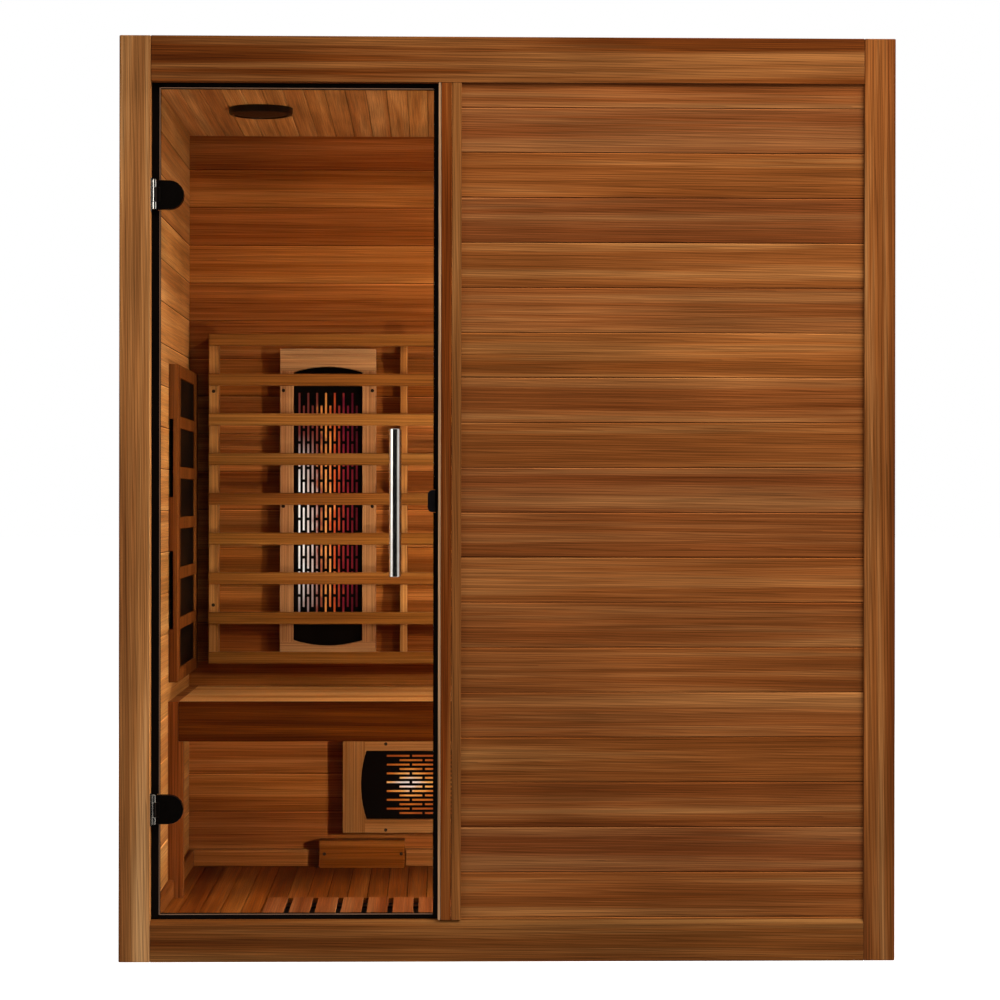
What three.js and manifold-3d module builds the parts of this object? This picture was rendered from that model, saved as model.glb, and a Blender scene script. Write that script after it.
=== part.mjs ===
// Infrared sauna cabin: a framed timber cabin with a frameless glass door, a bench, a slatted backrest,
// two kinds of wall heater, a floor heater, ceiling fittings and a control panel.
// Millimetres, +Z up, +Y towards the back wall. The origin is the centre of the footprint on the ground.
import * as THREE from "three";
import { mergeVertices } from "three/addons/utils/BufferGeometryUtils.js";
import Module from "manifold-3d";

const wasm = await Module();
wasm.setup();

// Cabin
const CABIN_WIDTH = 1600;
const CABIN_DEPTH = 1194;
const CABIN_HEIGHT = 1905;
const WALL = 46;
const SKIN = 12;
const BATTEN_WIDTH = 40;
const FRONT_BATTENS = 4;
const SIDE_BATTENS = 4;
const REAR_BATTENS = 5;
const FLOOR_HEIGHT = 49;
const DECK = 14;
const ROOF_BOARD = 12;
const ROOF_RIM = 30;
const ROOF_VOID = 37.5;

// Tongue and groove boards
const BOARD = 92.8;
const FIRST_JOINT = 90;
const STRIP = 45.2;
const FIRST_STRIP = 43;
const GROOVE_WIDTH = 3;
const GROOVE_DEPTH = 2.2;

// Front frame
const STILE = 64.5;
const DOORWAY_WIDTH = 591;
const MULLION = 47.5;
const TOP_RAIL = 94.5;
const BOTTOM_RAIL = 85.5;
const RAIL_CHAMFER = 9;
const CLADDING_RECESS = 9;

// Glass door and its seal
const GLASS = 8;
const GLASS_SETBACK = 13;
const HINGE_SIDE_GAP = 17;
const LATCH_SIDE_GAP = 8.5;
const HEAD_GAP = 11;
const SILL_GAP = 10.5;
const SEAL_LIP = 1.5;
const SEAL_DEPTH = 10;
const SEAL_WEB = 2;

// Door hinges
const UPPER_HINGE_DROP = 327;
const LOWER_HINGE_HEIGHT = 313;
const LEAF_LENGTH = 68;
const LEAF_WIDTH = 18;
const LEAF_THICKNESS = 2.2;
const BARREL_RADIUS = 4.5;
const BARREL_LENGTH = 60;
const KNUCKLE_LENGTH = 30;
const PIN_RADIUS = 2.2;
const PIN_HEAD_RADIUS = 3.6;
const PIN_HEAD = 1.5;
const CLAMP_LENGTH = 54;
const CLAMP_HEIGHT = 60;
const CLAMP_PLATE = 5;
const CLAMP_BRIDGE_HEIGHT = 24;
const CLAMP_BRIDGE_DEPTH = 6;
const CLAMP_GAP = 1.8;

// Door handle and latch
const HANDLE_RADIUS = 12.25;
const HANDLE_LENGTH = 303;
const HANDLE_HEIGHT = 945;
const HANDLE_INSET = 80;
const HANDLE_STANDOFF = 40;
const HANDLE_POST_SPACING = 200;
const HANDLE_POST_RADIUS = 8;
const HANDLE_STUD_RADIUS = 5;
const HANDLE_STUD_REACH = 14;
const LATCH_HEIGHT = 948.5;
const LATCH_LENGTH = 45.5;
const LATCH_REACH = 13;
const LATCH_CORNER = 9;
const STRIKE_PLATE = 2;
const MAGNET_DEPTH = 14;

// Bench
const SEAT_HEIGHT = 443.5;
const SEAT_DEPTH = 556;
const SEAT_BOARD = 20;
const FASCIA_HEIGHT = 89.5;
const FASCIA_THICKNESS = 20;
const FASCIA_EDGE = 4;
const BENCH_RAIL = 23;
const BENCH_LEDGE = 11;
const BENCH_POST_DEPTH = 34;

// Backrest
const SLAT_COUNT = 9;
const SLAT_PITCH = 96.7;
const SLAT_HEIGHT = 29.2;
const SLAT_THICKNESS = 20;
const SLAT_END_GAP = 52;
const BACKREST_ABOVE_SEAT = 58;
const UPRIGHT_DEPTH = 60;
const OUTER_UPRIGHT_WIDTH = 23;
const INNER_UPRIGHT_WIDTH = 17.4;
const INNER_UPRIGHT_X = 226.8;

// Glowing heater unit, upright on the back wall and lying under the bench
const HEATER_WIDTH = 234.5;
const HEATER_LENGTH = 771;
const HEATER_DEPTH = 45;
const HEATER_FRONT = 16;
const HEATER_RIM = 14;
const WINDOW_WIDTH = 168;
const WINDOW_LENGTH = 682;
const WINDOW_RISE = 13.5;
const GRILLE_SHEET = 2;
const SLOT_COLUMNS = 14;
const SLOT_COLUMN_PITCH = 10.8;
const SLOT_ROWS = 9;
const SLOT_PITCH = 62.5;
const SLOT_LENGTH = 55.5;
const SLOT_WIDTH = 4.6;
const TUBE_RADIUS = 6;
const TUBE_SPACING = 70;
const TUBE_LENGTH = 640;
const TUBE_FROM_WALL = 13;
const HOLDER_WIDTH = 120;
const HOLDER_LENGTH = 18;
const HOLDER_DEPTH = 22;
const BACK_HEATER_X = 412.5;
const BACK_HEATER_HEIGHT = 934;
const CALF_HEATER_X = 10;
const CALF_HEATER_HEIGHT = 252;

// Cable cover under the lying heater
const COVER_LENGTH = 210;
const COVER_X = -328;
const COVER_HEIGHT = 68;
const COVER_DEPTH = 45;
const COVER_WALL = 12;

// Flat carbon heater on each side wall
const SIDE_HEATER_LENGTH = 545;
const SIDE_HEATER_BACK_GAP = 4;
const SIDE_HEATER_BOTTOM = 536;
const SIDE_HEATER_DEPTH = 21;
const SIDE_HEATER_RIM = 12;
const SIDE_HEATER_STILE = 66;
const SIDE_HEATER_FRONT = 6;
const PANE_COUNT = 6;
const PANE_HEIGHT = 88;
const PANE_GAP = 27;
const PANE_MARGIN = 29.5;
const CARBON_SHEET = 3;
const VENT_HEIGHT = 177;
const VENT_WIDTH = 10;
const LOWER_VENT_OFFSET = 121;
const UPPER_VENT_OFFSET = 420;

// Floor heater
const GRATE_SLATS = 19;
const GRATE_X = 6;
const GRATE_SLAT = 45.5;
const GRATE_GAP = 11.1;
const GRATE_DEPTH = 440;
const GRATE_BACK_GAP = 6;
const GRATE_SLAT_THICKNESS = 8.7;
const GRATE_BAR_WIDTH = 30;
const GRATE_BAR_INSET = 60;
const GRATE_BAR_THICKNESS = 4;
const FLOOR_SHEET = 3;

// Ceiling fittings
const SPEAKER_RADIUS = 73;
const SPEAKER_DROP = 16;
const SPEAKER_EDGE = 6;
const SPEAKER_X = 549;
const SPEAKER_FROM_FRONT = 647;
const LAMP_RADIUS = 62;
const LAMP_DROP = 14;
const LAMP_EDGE = 5;
const LAMP_FROM_FRONT = 400;

// Control panel inside the front wall, and the power box in the roof
const PANEL_WIDTH = 130;
const PANEL_HEIGHT = 190;
const PANEL_THICKNESS = 15;
const PANEL_CORNER = 12;
const PANEL_X = 60;
const PANEL_CENTRE_HEIGHT = 1290;
const DISPLAY_WIDTH = 96;
const DISPLAY_HEIGHT = 56;
const DISPLAY_RECESS = 1.5;
const DISPLAY_RISE = 45;
const BUTTON_RADIUS = 11;
const BUTTON_LENGTH = 8;
const BUTTON_PROUD = 2.5;
const BUTTON_TRAVEL = 1.5;
const BUTTON_SPACING = 34;
const BUTTON_DROP = 40;
const POWER_BOX_WIDTH = 320;
const POWER_BOX_DEPTH = 220;
const POWER_BOX_HEIGHT = 30;
const POWER_BOX_X = 380;
const POWER_BOX_Y = 300;
const INLET_WIDTH = 60;
const INLET_DEPTH = 40;
const INLET_POCKET = 12;
const INLET_WALL = 5;

// Clearances and roundness
const SEAT_GAP = 0.3;
const RUN_GAP = 0.6;
const PIN_GAP = 0.25;
const STUD_GAP = 0.4;
const BUTTON_GAP = 0.4;
const CUT_GAP = 1;
const OVERCUT = 5;
const BITE = 1;
const SIDES = 12;
const DISC_SIDES = 24;
const ARC_STEPS = 10;
const CORNER_STEPS = 4;

// Faces that pieces share
const front = -CABIN_DEPTH / 2;
const back = CABIN_DEPTH / 2;
const left = -CABIN_WIDTH / 2;
const right = CABIN_WIDTH / 2;
const roomFront = front + WALL;
const roomBack = back - WALL;
const roomLeft = left + WALL;
const roomRight = right - WALL;
const roofUnder = CABIN_HEIGHT - ROOF_BOARD;
const ceilingTop = roofUnder - ROOF_VOID;
const ceiling = ceilingTop - SKIN;
const doorLeft = left + STILE;
const doorRight = doorLeft + DOORWAY_WIDTH;
const mullionRight = doorRight + MULLION;
const rightStileLeft = right - STILE;
const lintel = CABIN_HEIGHT - TOP_RAIL;
const glassFront = front + GLASS_SETBACK;
const glassBack = glassFront + GLASS;
const glassLeft = doorLeft + HINGE_SIDE_GAP;
const glassRight = doorRight - LATCH_SIDE_GAP;
const glassTop = lintel - HEAD_GAP;
const glassBottom = BOTTOM_RAIL + SILL_GAP;
const seatTop = FLOOR_HEIGHT + SEAT_HEIGHT;
const seatFront = roomBack - SEAT_DEPTH;
const hingeX = doorLeft + LEAF_THICKNESS + RUN_GAP + BARREL_RADIUS;
const hingeY = front + BARREL_RADIUS + RUN_GAP;

// Colours and finishes
const CEDAR = { color: 0x8a5226, roughness: 0.55, metalness: 0 };
const CEDAR_DARK = { color: 0x743c1a, roughness: 0.55, metalness: 0 };
const CEDAR_LIGHT = { color: 0x9c6434, roughness: 0.55, metalness: 0 };
const PLYWOOD = { color: 0xa98257, roughness: 0.7, metalness: 0 };
const CLEAR_GLASS = { color: 0xe8efe9, roughness: 0.03, metalness: 0, transparent: true, opacity: 0.25 };
const STEEL = { color: 0xc4c6c8, roughness: 0.18, metalness: 1 };
const BLACK_METAL = { color: 0x17130f, roughness: 0.25, metalness: 0.8 };
const BLACK_ENAMEL = { color: 0x0d0b0b, roughness: 0.4, metalness: 0.3 };
const BLACK_RUBBER = { color: 0x0e0c0b, roughness: 0.8, metalness: 0 };
const BLACK_PLASTIC = { color: 0x131112, roughness: 0.35, metalness: 0 };
const CARBON = { color: 0x161413, roughness: 0.6, metalness: 0 };
const GLOW = { color: 0xff9a4a, emissive: 0xff6a1c, roughness: 0.4, metalness: 0 };
const LENS = { color: 0xf6e3c2, emissive: 0xffdca0, roughness: 0.4, metalness: 0 };
const GREY_PLASTIC = { color: 0xb9b7b2, roughness: 0.45, metalness: 0 };
const GREY_STEEL = { color: 0x8d9093, roughness: 0.45, metalness: 0.8 };

const cabin = new THREE.Group();
const door = new THREE.Group();
cabin.add(door);

function piece(parent, name, geometry, finish) {
  geometry.computeVertexNormals();
  const mesh = new THREE.Mesh(geometry, new THREE.MeshStandardMaterial(finish));
  mesh.name = name;
  parent.add(mesh);
}

// A box between two faces along each axis.
function block(x, y, z) {
  const geometry = new THREE.BoxGeometry(1, 1, 1);
  const corner = geometry.attributes.position;
  const pick = (span, side) => (side < 0 ? Math.min(...span) : Math.max(...span));
  for (let i = 0; i < corner.count; i++) {
    corner.setXYZ(i, pick(x, corner.getX(i)), pick(y, corner.getY(i)), pick(z, corner.getZ(i)));
  }
  return geometry;
}

// An outline drawn in the two other axes, in X, Y, Z order, and carried along one axis between two faces.
function prism(axis, outline, span, holes = []) {
  const asVectors = (points) => points.map(([u, v]) => new THREE.Vector2(u, v));
  const shape = new THREE.Shape(asVectors(outline));
  holes.forEach((hole) => shape.holes.push(new THREE.Path(asVectors(hole))));
  const geometry = new THREE.ExtrudeGeometry(shape, { depth: 1, bevelEnabled: false });
  const corner = geometry.attributes.position;
  const low = Math.min(...span);
  const high = Math.max(...span);
  for (let i = 0; i < corner.count; i++) {
    const [u, v, far] = [corner.getX(i), corner.getY(i), corner.getZ(i) > 0.5];
    if (axis === "x") corner.setXYZ(i, far ? high : low, u, v);
    if (axis === "y") corner.setXYZ(i, u, far ? low : high, v);
    if (axis === "z") corner.setXYZ(i, u, v, far ? high : low);
  }
  return geometry;
}

function rectangle(u, v) {
  return [[u[0], v[0]], [u[1], v[0]], [u[1], v[1]], [u[0], v[1]]];
}

// Points on a round arc, ends included.
function arc(u, v, radius, from, to, steps) {
  return Array.from({ length: steps + 1 }, (_, i) => {
    const angle = from + ((to - from) * i) / steps;
    return [u + radius * Math.cos(angle), v + radius * Math.sin(angle)];
  });
}

function circle(u, v, radius) {
  return arc(u, v, radius, 0, 2 * Math.PI, SIDES).slice(0, SIDES);
}

function rod(axis, u, v, radius, span) {
  return prism(axis, circle(u, v, radius), span);
}

// A round body on an upright axis, from pairs of radius and height.
function turned(x, y, profile) {
  const points = profile.map(([radius, height]) => new THREE.Vector2(radius, height));
  return new THREE.LatheGeometry(points, DISC_SIDES).rotateX(Math.PI / 2).translate(x, y, 0);
}

function solid(geometry) {
  const bare = geometry.clone().deleteAttribute("normal").deleteAttribute("uv");
  const merged = mergeVertices(bare, 1e-3);
  const vertProperties = merged.attributes.position.array;
  const triVerts = new Uint32Array(merged.index.array);
  return new wasm.Manifold(new wasm.Mesh({ numProp: 3, vertProperties, triVerts }));
}

function surface(body) {
  const mesh = body.getMesh();
  return new THREE.BufferGeometry()
    .setAttribute("position", new THREE.BufferAttribute(mesh.vertProperties.slice(), 3))
    .setIndex(new THREE.BufferAttribute(mesh.triVerts.slice(), 1));
}

function join(...pieces) {
  return surface(pieces.map(solid).reduce((whole, more) => whole.add(more)));
}

function cut(geometry, ...tools) {
  return surface(tools.map(solid).reduce((whole, tool) => whole.subtract(tool), solid(geometry)));
}

function series(first, pitch, end) {
  return Array.from({ length: Math.max(0, Math.ceil((end - first) / pitch)) }, (_, i) => first + i * pitch);
}

const wider = ([low, high], by) => [low - by, high + by];

// A panel's section: a plain back face and a front face with a V groove at each joint between boards.
function boards(backFace, showFace, span, joints) {
  const inward = Math.sign(backFace - showFace);
  const grooves = joints
    .filter((joint) => joint > span[0] + GROOVE_WIDTH && joint < span[1] - GROOVE_WIDTH)
    .flatMap((joint) => [
      [showFace, joint - GROOVE_WIDTH / 2],
      [showFace + inward * GROOVE_DEPTH, joint],
      [showFace, joint + GROOVE_WIDTH / 2],
    ]);
  return [[backFace, span[0]], [showFace, span[0]], ...grooves, [showFace, span[1]], [backFace, span[1]]];
}

const wallJoints = series(FIRST_JOINT, BOARD, CABIN_HEIGHT);
const stripJoints = series(roomLeft + FIRST_STRIP, STRIP, roomRight);
const flipped = (outline) => outline.map(([u, v]) => [v, u]);
const battenStarts = (from, to, count) =>
  Array.from({ length: count }, (_, i) => from + ((to - from - BATTEN_WIDTH) * i) / (count - 1));

// Platform and floor deck, with the well for the floor heater
const grateWidth = GRATE_SLATS * GRATE_SLAT + (GRATE_SLATS - 1) * GRATE_GAP;
const grateX = wider([GRATE_X, GRATE_X], grateWidth / 2);
const grateBack = seatFront - GRATE_BACK_GAP;
const grateFront = grateBack - GRATE_DEPTH;
const deckUnder = FLOOR_HEIGHT - DECK;
const room = { x: [roomLeft, roomRight], y: [roomFront, roomBack] };
piece(cabin, "base_platform", block(room.x, room.y, [0, deckUnder]), PLYWOOD);
piece(
  cabin,
  "floor_deck",
  cut(
    prism("y", flipped(boards(deckUnder, FLOOR_HEIGHT, room.x, stripJoints)), room.y),
    block(
      wider(grateX, CUT_GAP),
      [grateFront - CUT_GAP, grateBack + CUT_GAP],
      [deckUnder - OVERCUT, FLOOR_HEIGHT + OVERCUT],
    ),
  ),
  CEDAR_DARK,
);

// Front frame: two stiles, two rails and the mullion beside the doorway
const frameDepth = [front, roomFront];
const betweenStiles = [doorLeft, rightStileLeft];
const betweenRails = [BOTTOM_RAIL, lintel];
piece(cabin, "front_left_stile", block([left, doorLeft], frameDepth, [0, CABIN_HEIGHT]), CEDAR);
piece(cabin, "front_right_stile", block([rightStileLeft, right], frameDepth, [0, CABIN_HEIGHT]), CEDAR);
piece(cabin, "front_top_rail", block(betweenStiles, frameDepth, [lintel, CABIN_HEIGHT]), CEDAR);
const sillSection = [
  [front, 0],
  [roomFront, 0],
  [roomFront, BOTTOM_RAIL],
  [front + RAIL_CHAMFER, BOTTOM_RAIL],
  [front, BOTTOM_RAIL - RAIL_CHAMFER],
];
piece(cabin, "front_bottom_rail", prism("x", sillSection, betweenStiles), CEDAR);
piece(cabin, "front_mullion", block([doorRight, mullionRight], frameDepth, betweenRails), CEDAR_LIGHT);

// Front wall panel beside the door: outer cladding, and inner lining on its battens
const claddingFace = front + CLADDING_RECESS;
const claddingBack = claddingFace + SKIN;
const frontPanel = [mullionRight, rightStileLeft];
piece(
  cabin,
  "front_cladding",
  prism("x", boards(claddingBack, claddingFace, betweenRails, wallJoints), frontPanel),
  CEDAR,
);
piece(
  cabin,
  "front_lining",
  join(
    prism("x", boards(roomFront - SKIN, roomFront, betweenRails, wallJoints), frontPanel),
    ...battenStarts(...frontPanel, FRONT_BATTENS).map((x) =>
      block([x, x + BATTEN_WIDTH], [claddingBack, roomFront - SKIN + BITE], betweenRails),
    ),
  ),
  CEDAR,
);

// Side walls, rear wall and rear corner posts
const wallSpan = [0, roofUnder];
for (const [side, outer, inner] of [["left", left, roomLeft], ["right", right, roomRight]]) {
  const inward = Math.sign(inner - outer);
  const claddingInner = outer + inward * SKIN;
  const liningOuter = inner - inward * SKIN;
  piece(
    cabin,
    `${side}_cladding`,
    prism("y", boards(claddingInner, outer, wallSpan, wallJoints), room.y),
    CEDAR,
  );
  piece(
    cabin,
    `${side}_lining`,
    join(
      prism("y", boards(liningOuter, inner, wallSpan, wallJoints), room.y),
      ...battenStarts(...room.y, SIDE_BATTENS).map((y) =>
        block([claddingInner, liningOuter + inward * BITE], [y, y + BATTEN_WIDTH], wallSpan),
      ),
    ),
    CEDAR_LIGHT,
  );
  piece(cabin, `rear_${side}_post`, block([outer, inner], [roomBack, back], wallSpan), CEDAR);
}
const rearSection = boards(back - SKIN, back, wallSpan, wallJoints);
piece(cabin, "rear_cladding", prism("x", rearSection, room.x), CEDAR);
piece(
  cabin,
  "rear_lining",
  join(
    prism("x", boards(roomBack + SKIN, roomBack, wallSpan, wallJoints), room.x),
    ...battenStarts(...room.x, REAR_BATTENS).map((x) =>
      block([x, x + BATTEN_WIDTH], [roomBack + SKIN - BITE, back - SKIN], wallSpan),
    ),
  ),
  CEDAR,
);

// Ceiling lining with its round fittings, and the roof panel whose rim carries it
const speakerY = front + SPEAKER_FROM_FRONT;
const lampY = front + LAMP_FROM_FRONT;
piece(
  cabin,
  "ceiling_lining",
  prism("y", flipped(boards(ceilingTop, ceiling, room.x, stripJoints)), room.y),
  CEDAR_LIGHT,
);
function ceilingFitting(name, x, y, radius, drop, edge, finish) {
  const profile = [
    [0, ceiling - drop],
    [radius - edge, ceiling - drop],
    [radius, ceiling - drop + edge],
    [radius, ceiling - SEAT_GAP],
    [0, ceiling - SEAT_GAP],
  ];
  piece(cabin, name, turned(x, y, profile), finish);
}
for (const [side, sign] of [["left", -1], ["right", 1]]) {
  const x = sign * SPEAKER_X;
  const size = [SPEAKER_RADIUS, SPEAKER_DROP, SPEAKER_EDGE];
  ceilingFitting(`${side}_speaker`, x, speakerY, ...size, BLACK_PLASTIC);
}
ceilingFitting("ceiling_lamp", 0, lampY, LAMP_RADIUS, LAMP_DROP, LAMP_EDGE, LENS);
const inletX = [POWER_BOX_X - INLET_WIDTH / 2, POWER_BOX_X + INLET_WIDTH / 2];
const inletY = [POWER_BOX_Y - INLET_DEPTH / 2, POWER_BOX_Y + INLET_DEPTH / 2];
piece(
  cabin,
  "roof_panel",
  cut(
    join(
      block([left, right], [roomFront, back], [roofUnder, CABIN_HEIGHT]),
      cut(
        block(room.x, room.y, [ceilingTop, roofUnder + BITE]),
        block(
          wider(room.x, -ROOF_RIM),
          wider(room.y, -ROOF_RIM),
          [ceilingTop - OVERCUT, roofUnder + OVERCUT],
        ),
      ),
    ),
    block(wider(inletX, CUT_GAP), wider(inletY, CUT_GAP), [ceilingTop, CABIN_HEIGHT + OVERCUT]),
  ),
  CEDAR_DARK,
);
const powerBoxTop = ceilingTop + SEAT_GAP + POWER_BOX_HEIGHT;
piece(
  cabin,
  "power_box",
  cut(
    join(
      block(
        wider([POWER_BOX_X, POWER_BOX_X], POWER_BOX_WIDTH / 2),
        wider([POWER_BOX_Y, POWER_BOX_Y], POWER_BOX_DEPTH / 2),
        [ceilingTop + SEAT_GAP, powerBoxTop],
      ),
      block(inletX, inletY, [powerBoxTop - BITE, CABIN_HEIGHT]),
    ),
    block(
      wider(inletX, -INLET_WALL),
      wider(inletY, -INLET_WALL),
      [CABIN_HEIGHT - INLET_POCKET, CABIN_HEIGHT + OVERCUT],
    ),
  ),
  GREY_STEEL,
);

// Door glass, notched for the hinge clamps and drilled for the handle studs
const handleX = glassRight - HANDLE_INSET;
const postHeights = [-1, 1].map((end) => HANDLE_HEIGHT + (end * HANDLE_POST_SPACING) / 2);
const hinges = [["upper", CABIN_HEIGHT - UPPER_HINGE_DROP], ["lower", LOWER_HINGE_HEIGHT]];
const notchHalf = CLAMP_BRIDGE_HEIGHT / 2 + CUT_GAP;
const notchX = glassLeft + CLAMP_BRIDGE_DEPTH + SEAT_GAP;
const glassOutline = [
  [glassRight, glassBottom],
  [glassRight, glassTop],
  [glassLeft, glassTop],
  ...hinges.flatMap(([, height]) => [
    [glassLeft, height + notchHalf],
    [notchX, height + notchHalf],
    [notchX, height - notchHalf],
    [glassLeft, height - notchHalf],
  ]),
  [glassLeft, glassBottom],
];
const studHoles = postHeights.map((height) => circle(handleX, height, HANDLE_STUD_RADIUS + CUT_GAP));
piece(door, "door_glass", prism("y", glassOutline, [glassFront, glassBack], studHoles), CLEAR_GLASS);

// Hinges: a leaf on the jamb, a pin, and a clamp that grips the glass
const clampLeft = hingeX + BARREL_RADIUS + CLAMP_GAP;
const frontPlate = [glassFront - SEAT_GAP - CLAMP_PLATE, glassFront - SEAT_GAP];
const backPlate = [glassBack + SEAT_GAP, glassBack + SEAT_GAP + CLAMP_PLATE];
const pinBore = PIN_RADIUS + PIN_GAP;
for (const [place, height] of hinges) {
  const about = (length) => [height - length / 2, height + length / 2];
  const bore = rod("z", hingeX, hingeY, pinBore, about(BARREL_LENGTH + 2 * OVERCUT));
  const knuckles = [-1, 1].flatMap((end) => {
    const reach = [
      height + end * (KNUCKLE_LENGTH / 2 + SEAT_GAP),
      height + (end * BARREL_LENGTH) / 2,
    ];
    const web = block([doorLeft, hingeX], wider([hingeY, hingeY], BARREL_RADIUS / 2), reach);
    return [rod("z", hingeX, hingeY, BARREL_RADIUS, reach), web];
  });
  const leaf = block(
    [doorLeft, doorLeft + LEAF_THICKNESS],
    [hingeY - BARREL_RADIUS, hingeY - BARREL_RADIUS + LEAF_WIDTH],
    about(LEAF_LENGTH),
  );
  piece(cabin, `${place}_hinge_leaf`, cut(join(leaf, ...knuckles), bore), STEEL);

  const pinTop = height + BARREL_LENGTH / 2 + SEAT_GAP;
  piece(
    cabin,
    `${place}_hinge_pin`,
    join(
      rod("z", hingeX, hingeY, PIN_RADIUS, [height - BARREL_LENGTH / 2, pinTop + PIN_HEAD]),
      rod("z", hingeX, hingeY, PIN_HEAD_RADIUS, [pinTop, pinTop + PIN_HEAD]),
    ),
    STEEL,
  );

  const round = CLAMP_HEIGHT / 2;
  const roundX = clampLeft + CLAMP_LENGTH - round;
  const clampOutline = [
    [clampLeft, height - round],
    ...arc(roundX, height, round, -Math.PI / 2, Math.PI / 2, ARC_STEPS),
    [clampLeft, height + round],
  ];
  const plates = [frontPlate, backPlate].map((span) => prism("y", clampOutline, span));
  const knuckle = rod("z", hingeX, hingeY, BARREL_RADIUS, about(KNUCKLE_LENGTH));
  const arm = block([hingeX, clampLeft + CLAMP_PLATE], [hingeY, frontPlate[1]], about(KNUCKLE_LENGTH));
  const bridge = block(
    [clampLeft, glassLeft + CLAMP_BRIDGE_DEPTH],
    [frontPlate[0], backPlate[1]],
    about(CLAMP_BRIDGE_HEIGHT),
  );
  piece(
    door,
    `${place}_hinge_clamp`,
    cut(join(...plates, knuckle, arm, bridge), bore),
    BLACK_METAL,
  );
}

// Back-to-back pull bars: the outer one's studs pass through the glass into the inner one's posts
const barSpan = wider([HANDLE_HEIGHT, HANDLE_HEIGHT], HANDLE_LENGTH / 2);
const outerBarY = glassFront - HANDLE_STANDOFF - HANDLE_RADIUS;
const innerBarY = glassBack + HANDLE_STANDOFF + HANDLE_RADIUS;
const studEnd = glassBack + HANDLE_STUD_REACH;
const posts = (radius, span) => postHeights.map((height) => rod("y", handleX, height, radius, span));
piece(
  door,
  "outer_handle",
  join(
    rod("z", handleX, outerBarY, HANDLE_RADIUS, barSpan),
    ...posts(HANDLE_POST_RADIUS, [outerBarY, glassFront - SEAT_GAP]),
    ...posts(HANDLE_STUD_RADIUS, [outerBarY, studEnd]),
  ),
  STEEL,
);
piece(
  door,
  "inner_handle",
  cut(
    join(
      rod("z", handleX, innerBarY, HANDLE_RADIUS, barSpan),
      ...posts(HANDLE_POST_RADIUS, [glassBack + SEAT_GAP, innerBarY]),
    ),
    ...posts(HANDLE_STUD_RADIUS + STUD_GAP, [glassBack, studEnd + STUD_GAP]),
  ),
  STEEL,
);

// Latch: a strike clipped over the glass edge, and a magnet block on the mullion behind it
const strikeRight = glassRight + SEAT_GAP + STRIKE_PLATE;
const latchLeft = glassRight - LATCH_REACH;
const latchSpan = wider([LATCH_HEIGHT, LATCH_HEIGHT], LATCH_LENGTH / 2);
const latchRoundX = latchLeft + LATCH_CORNER;
const latchRoundZ = wider(latchSpan, -LATCH_CORNER);
const latchOutline = (rightFace) => [
  [rightFace, latchSpan[0]],
  [rightFace, latchSpan[1]],
  ...arc(latchRoundX, latchRoundZ[1], LATCH_CORNER, Math.PI / 2, Math.PI, CORNER_STEPS),
  ...arc(latchRoundX, latchRoundZ[0], LATCH_CORNER, Math.PI, 1.5 * Math.PI, CORNER_STEPS),
];
const strikeDepth = [glassFront - SEAT_GAP - STRIKE_PLATE, glassBack + SEAT_GAP + STRIKE_PLATE];
const strikeSlot = block(
  [latchLeft - OVERCUT, glassRight + SEAT_GAP],
  [glassFront - SEAT_GAP, glassBack + SEAT_GAP],
  wider(latchSpan, OVERCUT),
);
const strike = prism("y", latchOutline(strikeRight), strikeDepth);
piece(door, "latch_strike", cut(strike, strikeSlot), BLACK_PLASTIC);
const magnetFront = strikeDepth[1] + RUN_GAP;
piece(
  cabin,
  "latch_magnet",
  prism("y", latchOutline(doorRight), [magnetFront, magnetFront + MAGNET_DEPTH]),
  BLACK_PLASTIC,
);

// Rubber seal round the doorway behind the glass edge, notched round the clamps and the latch
const sealFront = glassBack + RUN_GAP;
const sealOuter = rectangle([doorLeft, doorRight], [BOTTOM_RAIL, lintel]);
const sealInner = rectangle(
  [glassLeft + SEAL_LIP, glassRight - SEAL_LIP],
  [glassBottom + SEAL_LIP, glassTop - SEAL_LIP],
);
const sealDepth = [sealFront, sealFront + SEAL_DEPTH];
piece(
  cabin,
  "door_seal",
  cut(
    prism("y", sealOuter, sealDepth, [sealInner]),
    ...hinges.map(([, height]) =>
      block(
        [clampLeft - CUT_GAP, glassLeft + CLAMP_LENGTH],
        wider(sealDepth, OVERCUT),
        wider([height, height], CLAMP_HEIGHT / 2 + CUT_GAP),
      ),
    ),
    block(
      [latchLeft - OVERCUT, strikeRight + RUN_GAP],
      wider(sealDepth, OVERCUT),
      wider(latchSpan, CUT_GAP),
    ),
    block(
      [latchLeft - OVERCUT, doorRight + OVERCUT],
      [sealFront + SEAL_WEB, sealDepth[1] + OVERCUT],
      wider(latchSpan, CUT_GAP),
    ),
  ),
  BLACK_RUBBER,
);

// Bench: an end support on each side wall, a fascia and a boarded seat
const fasciaBack = seatFront + FASCIA_THICKNESS;
const fasciaBottom = seatTop - FASCIA_HEIGHT;
const seatUnder = seatTop - SEAT_BOARD;
const benchBack = roomBack - SEAT_GAP;
for (const [side, wall, inward] of [["left", roomLeft, 1], ["right", roomRight, -1]]) {
  const railFace = wall + inward * BENCH_RAIL;
  const ledgeFace = railFace + inward * BENCH_LEDGE;
  const postDepth = [seatFront, seatFront + BENCH_POST_DEPTH];
  piece(
    cabin,
    `bench_${side}_support`,
    join(
      block([wall, railFace], [seatFront, benchBack], [fasciaBottom, seatTop]),
      block([wall, railFace], postDepth, [FLOOR_HEIGHT, seatTop]),
      block([wall, ledgeFace], postDepth, [FLOOR_HEIGHT, fasciaBottom - SEAT_GAP]),
      block([wall, ledgeFace], [fasciaBack + SEAT_GAP, benchBack], [fasciaBottom, seatUnder - SEAT_GAP]),
    ),
    CEDAR,
  );
}
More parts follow.
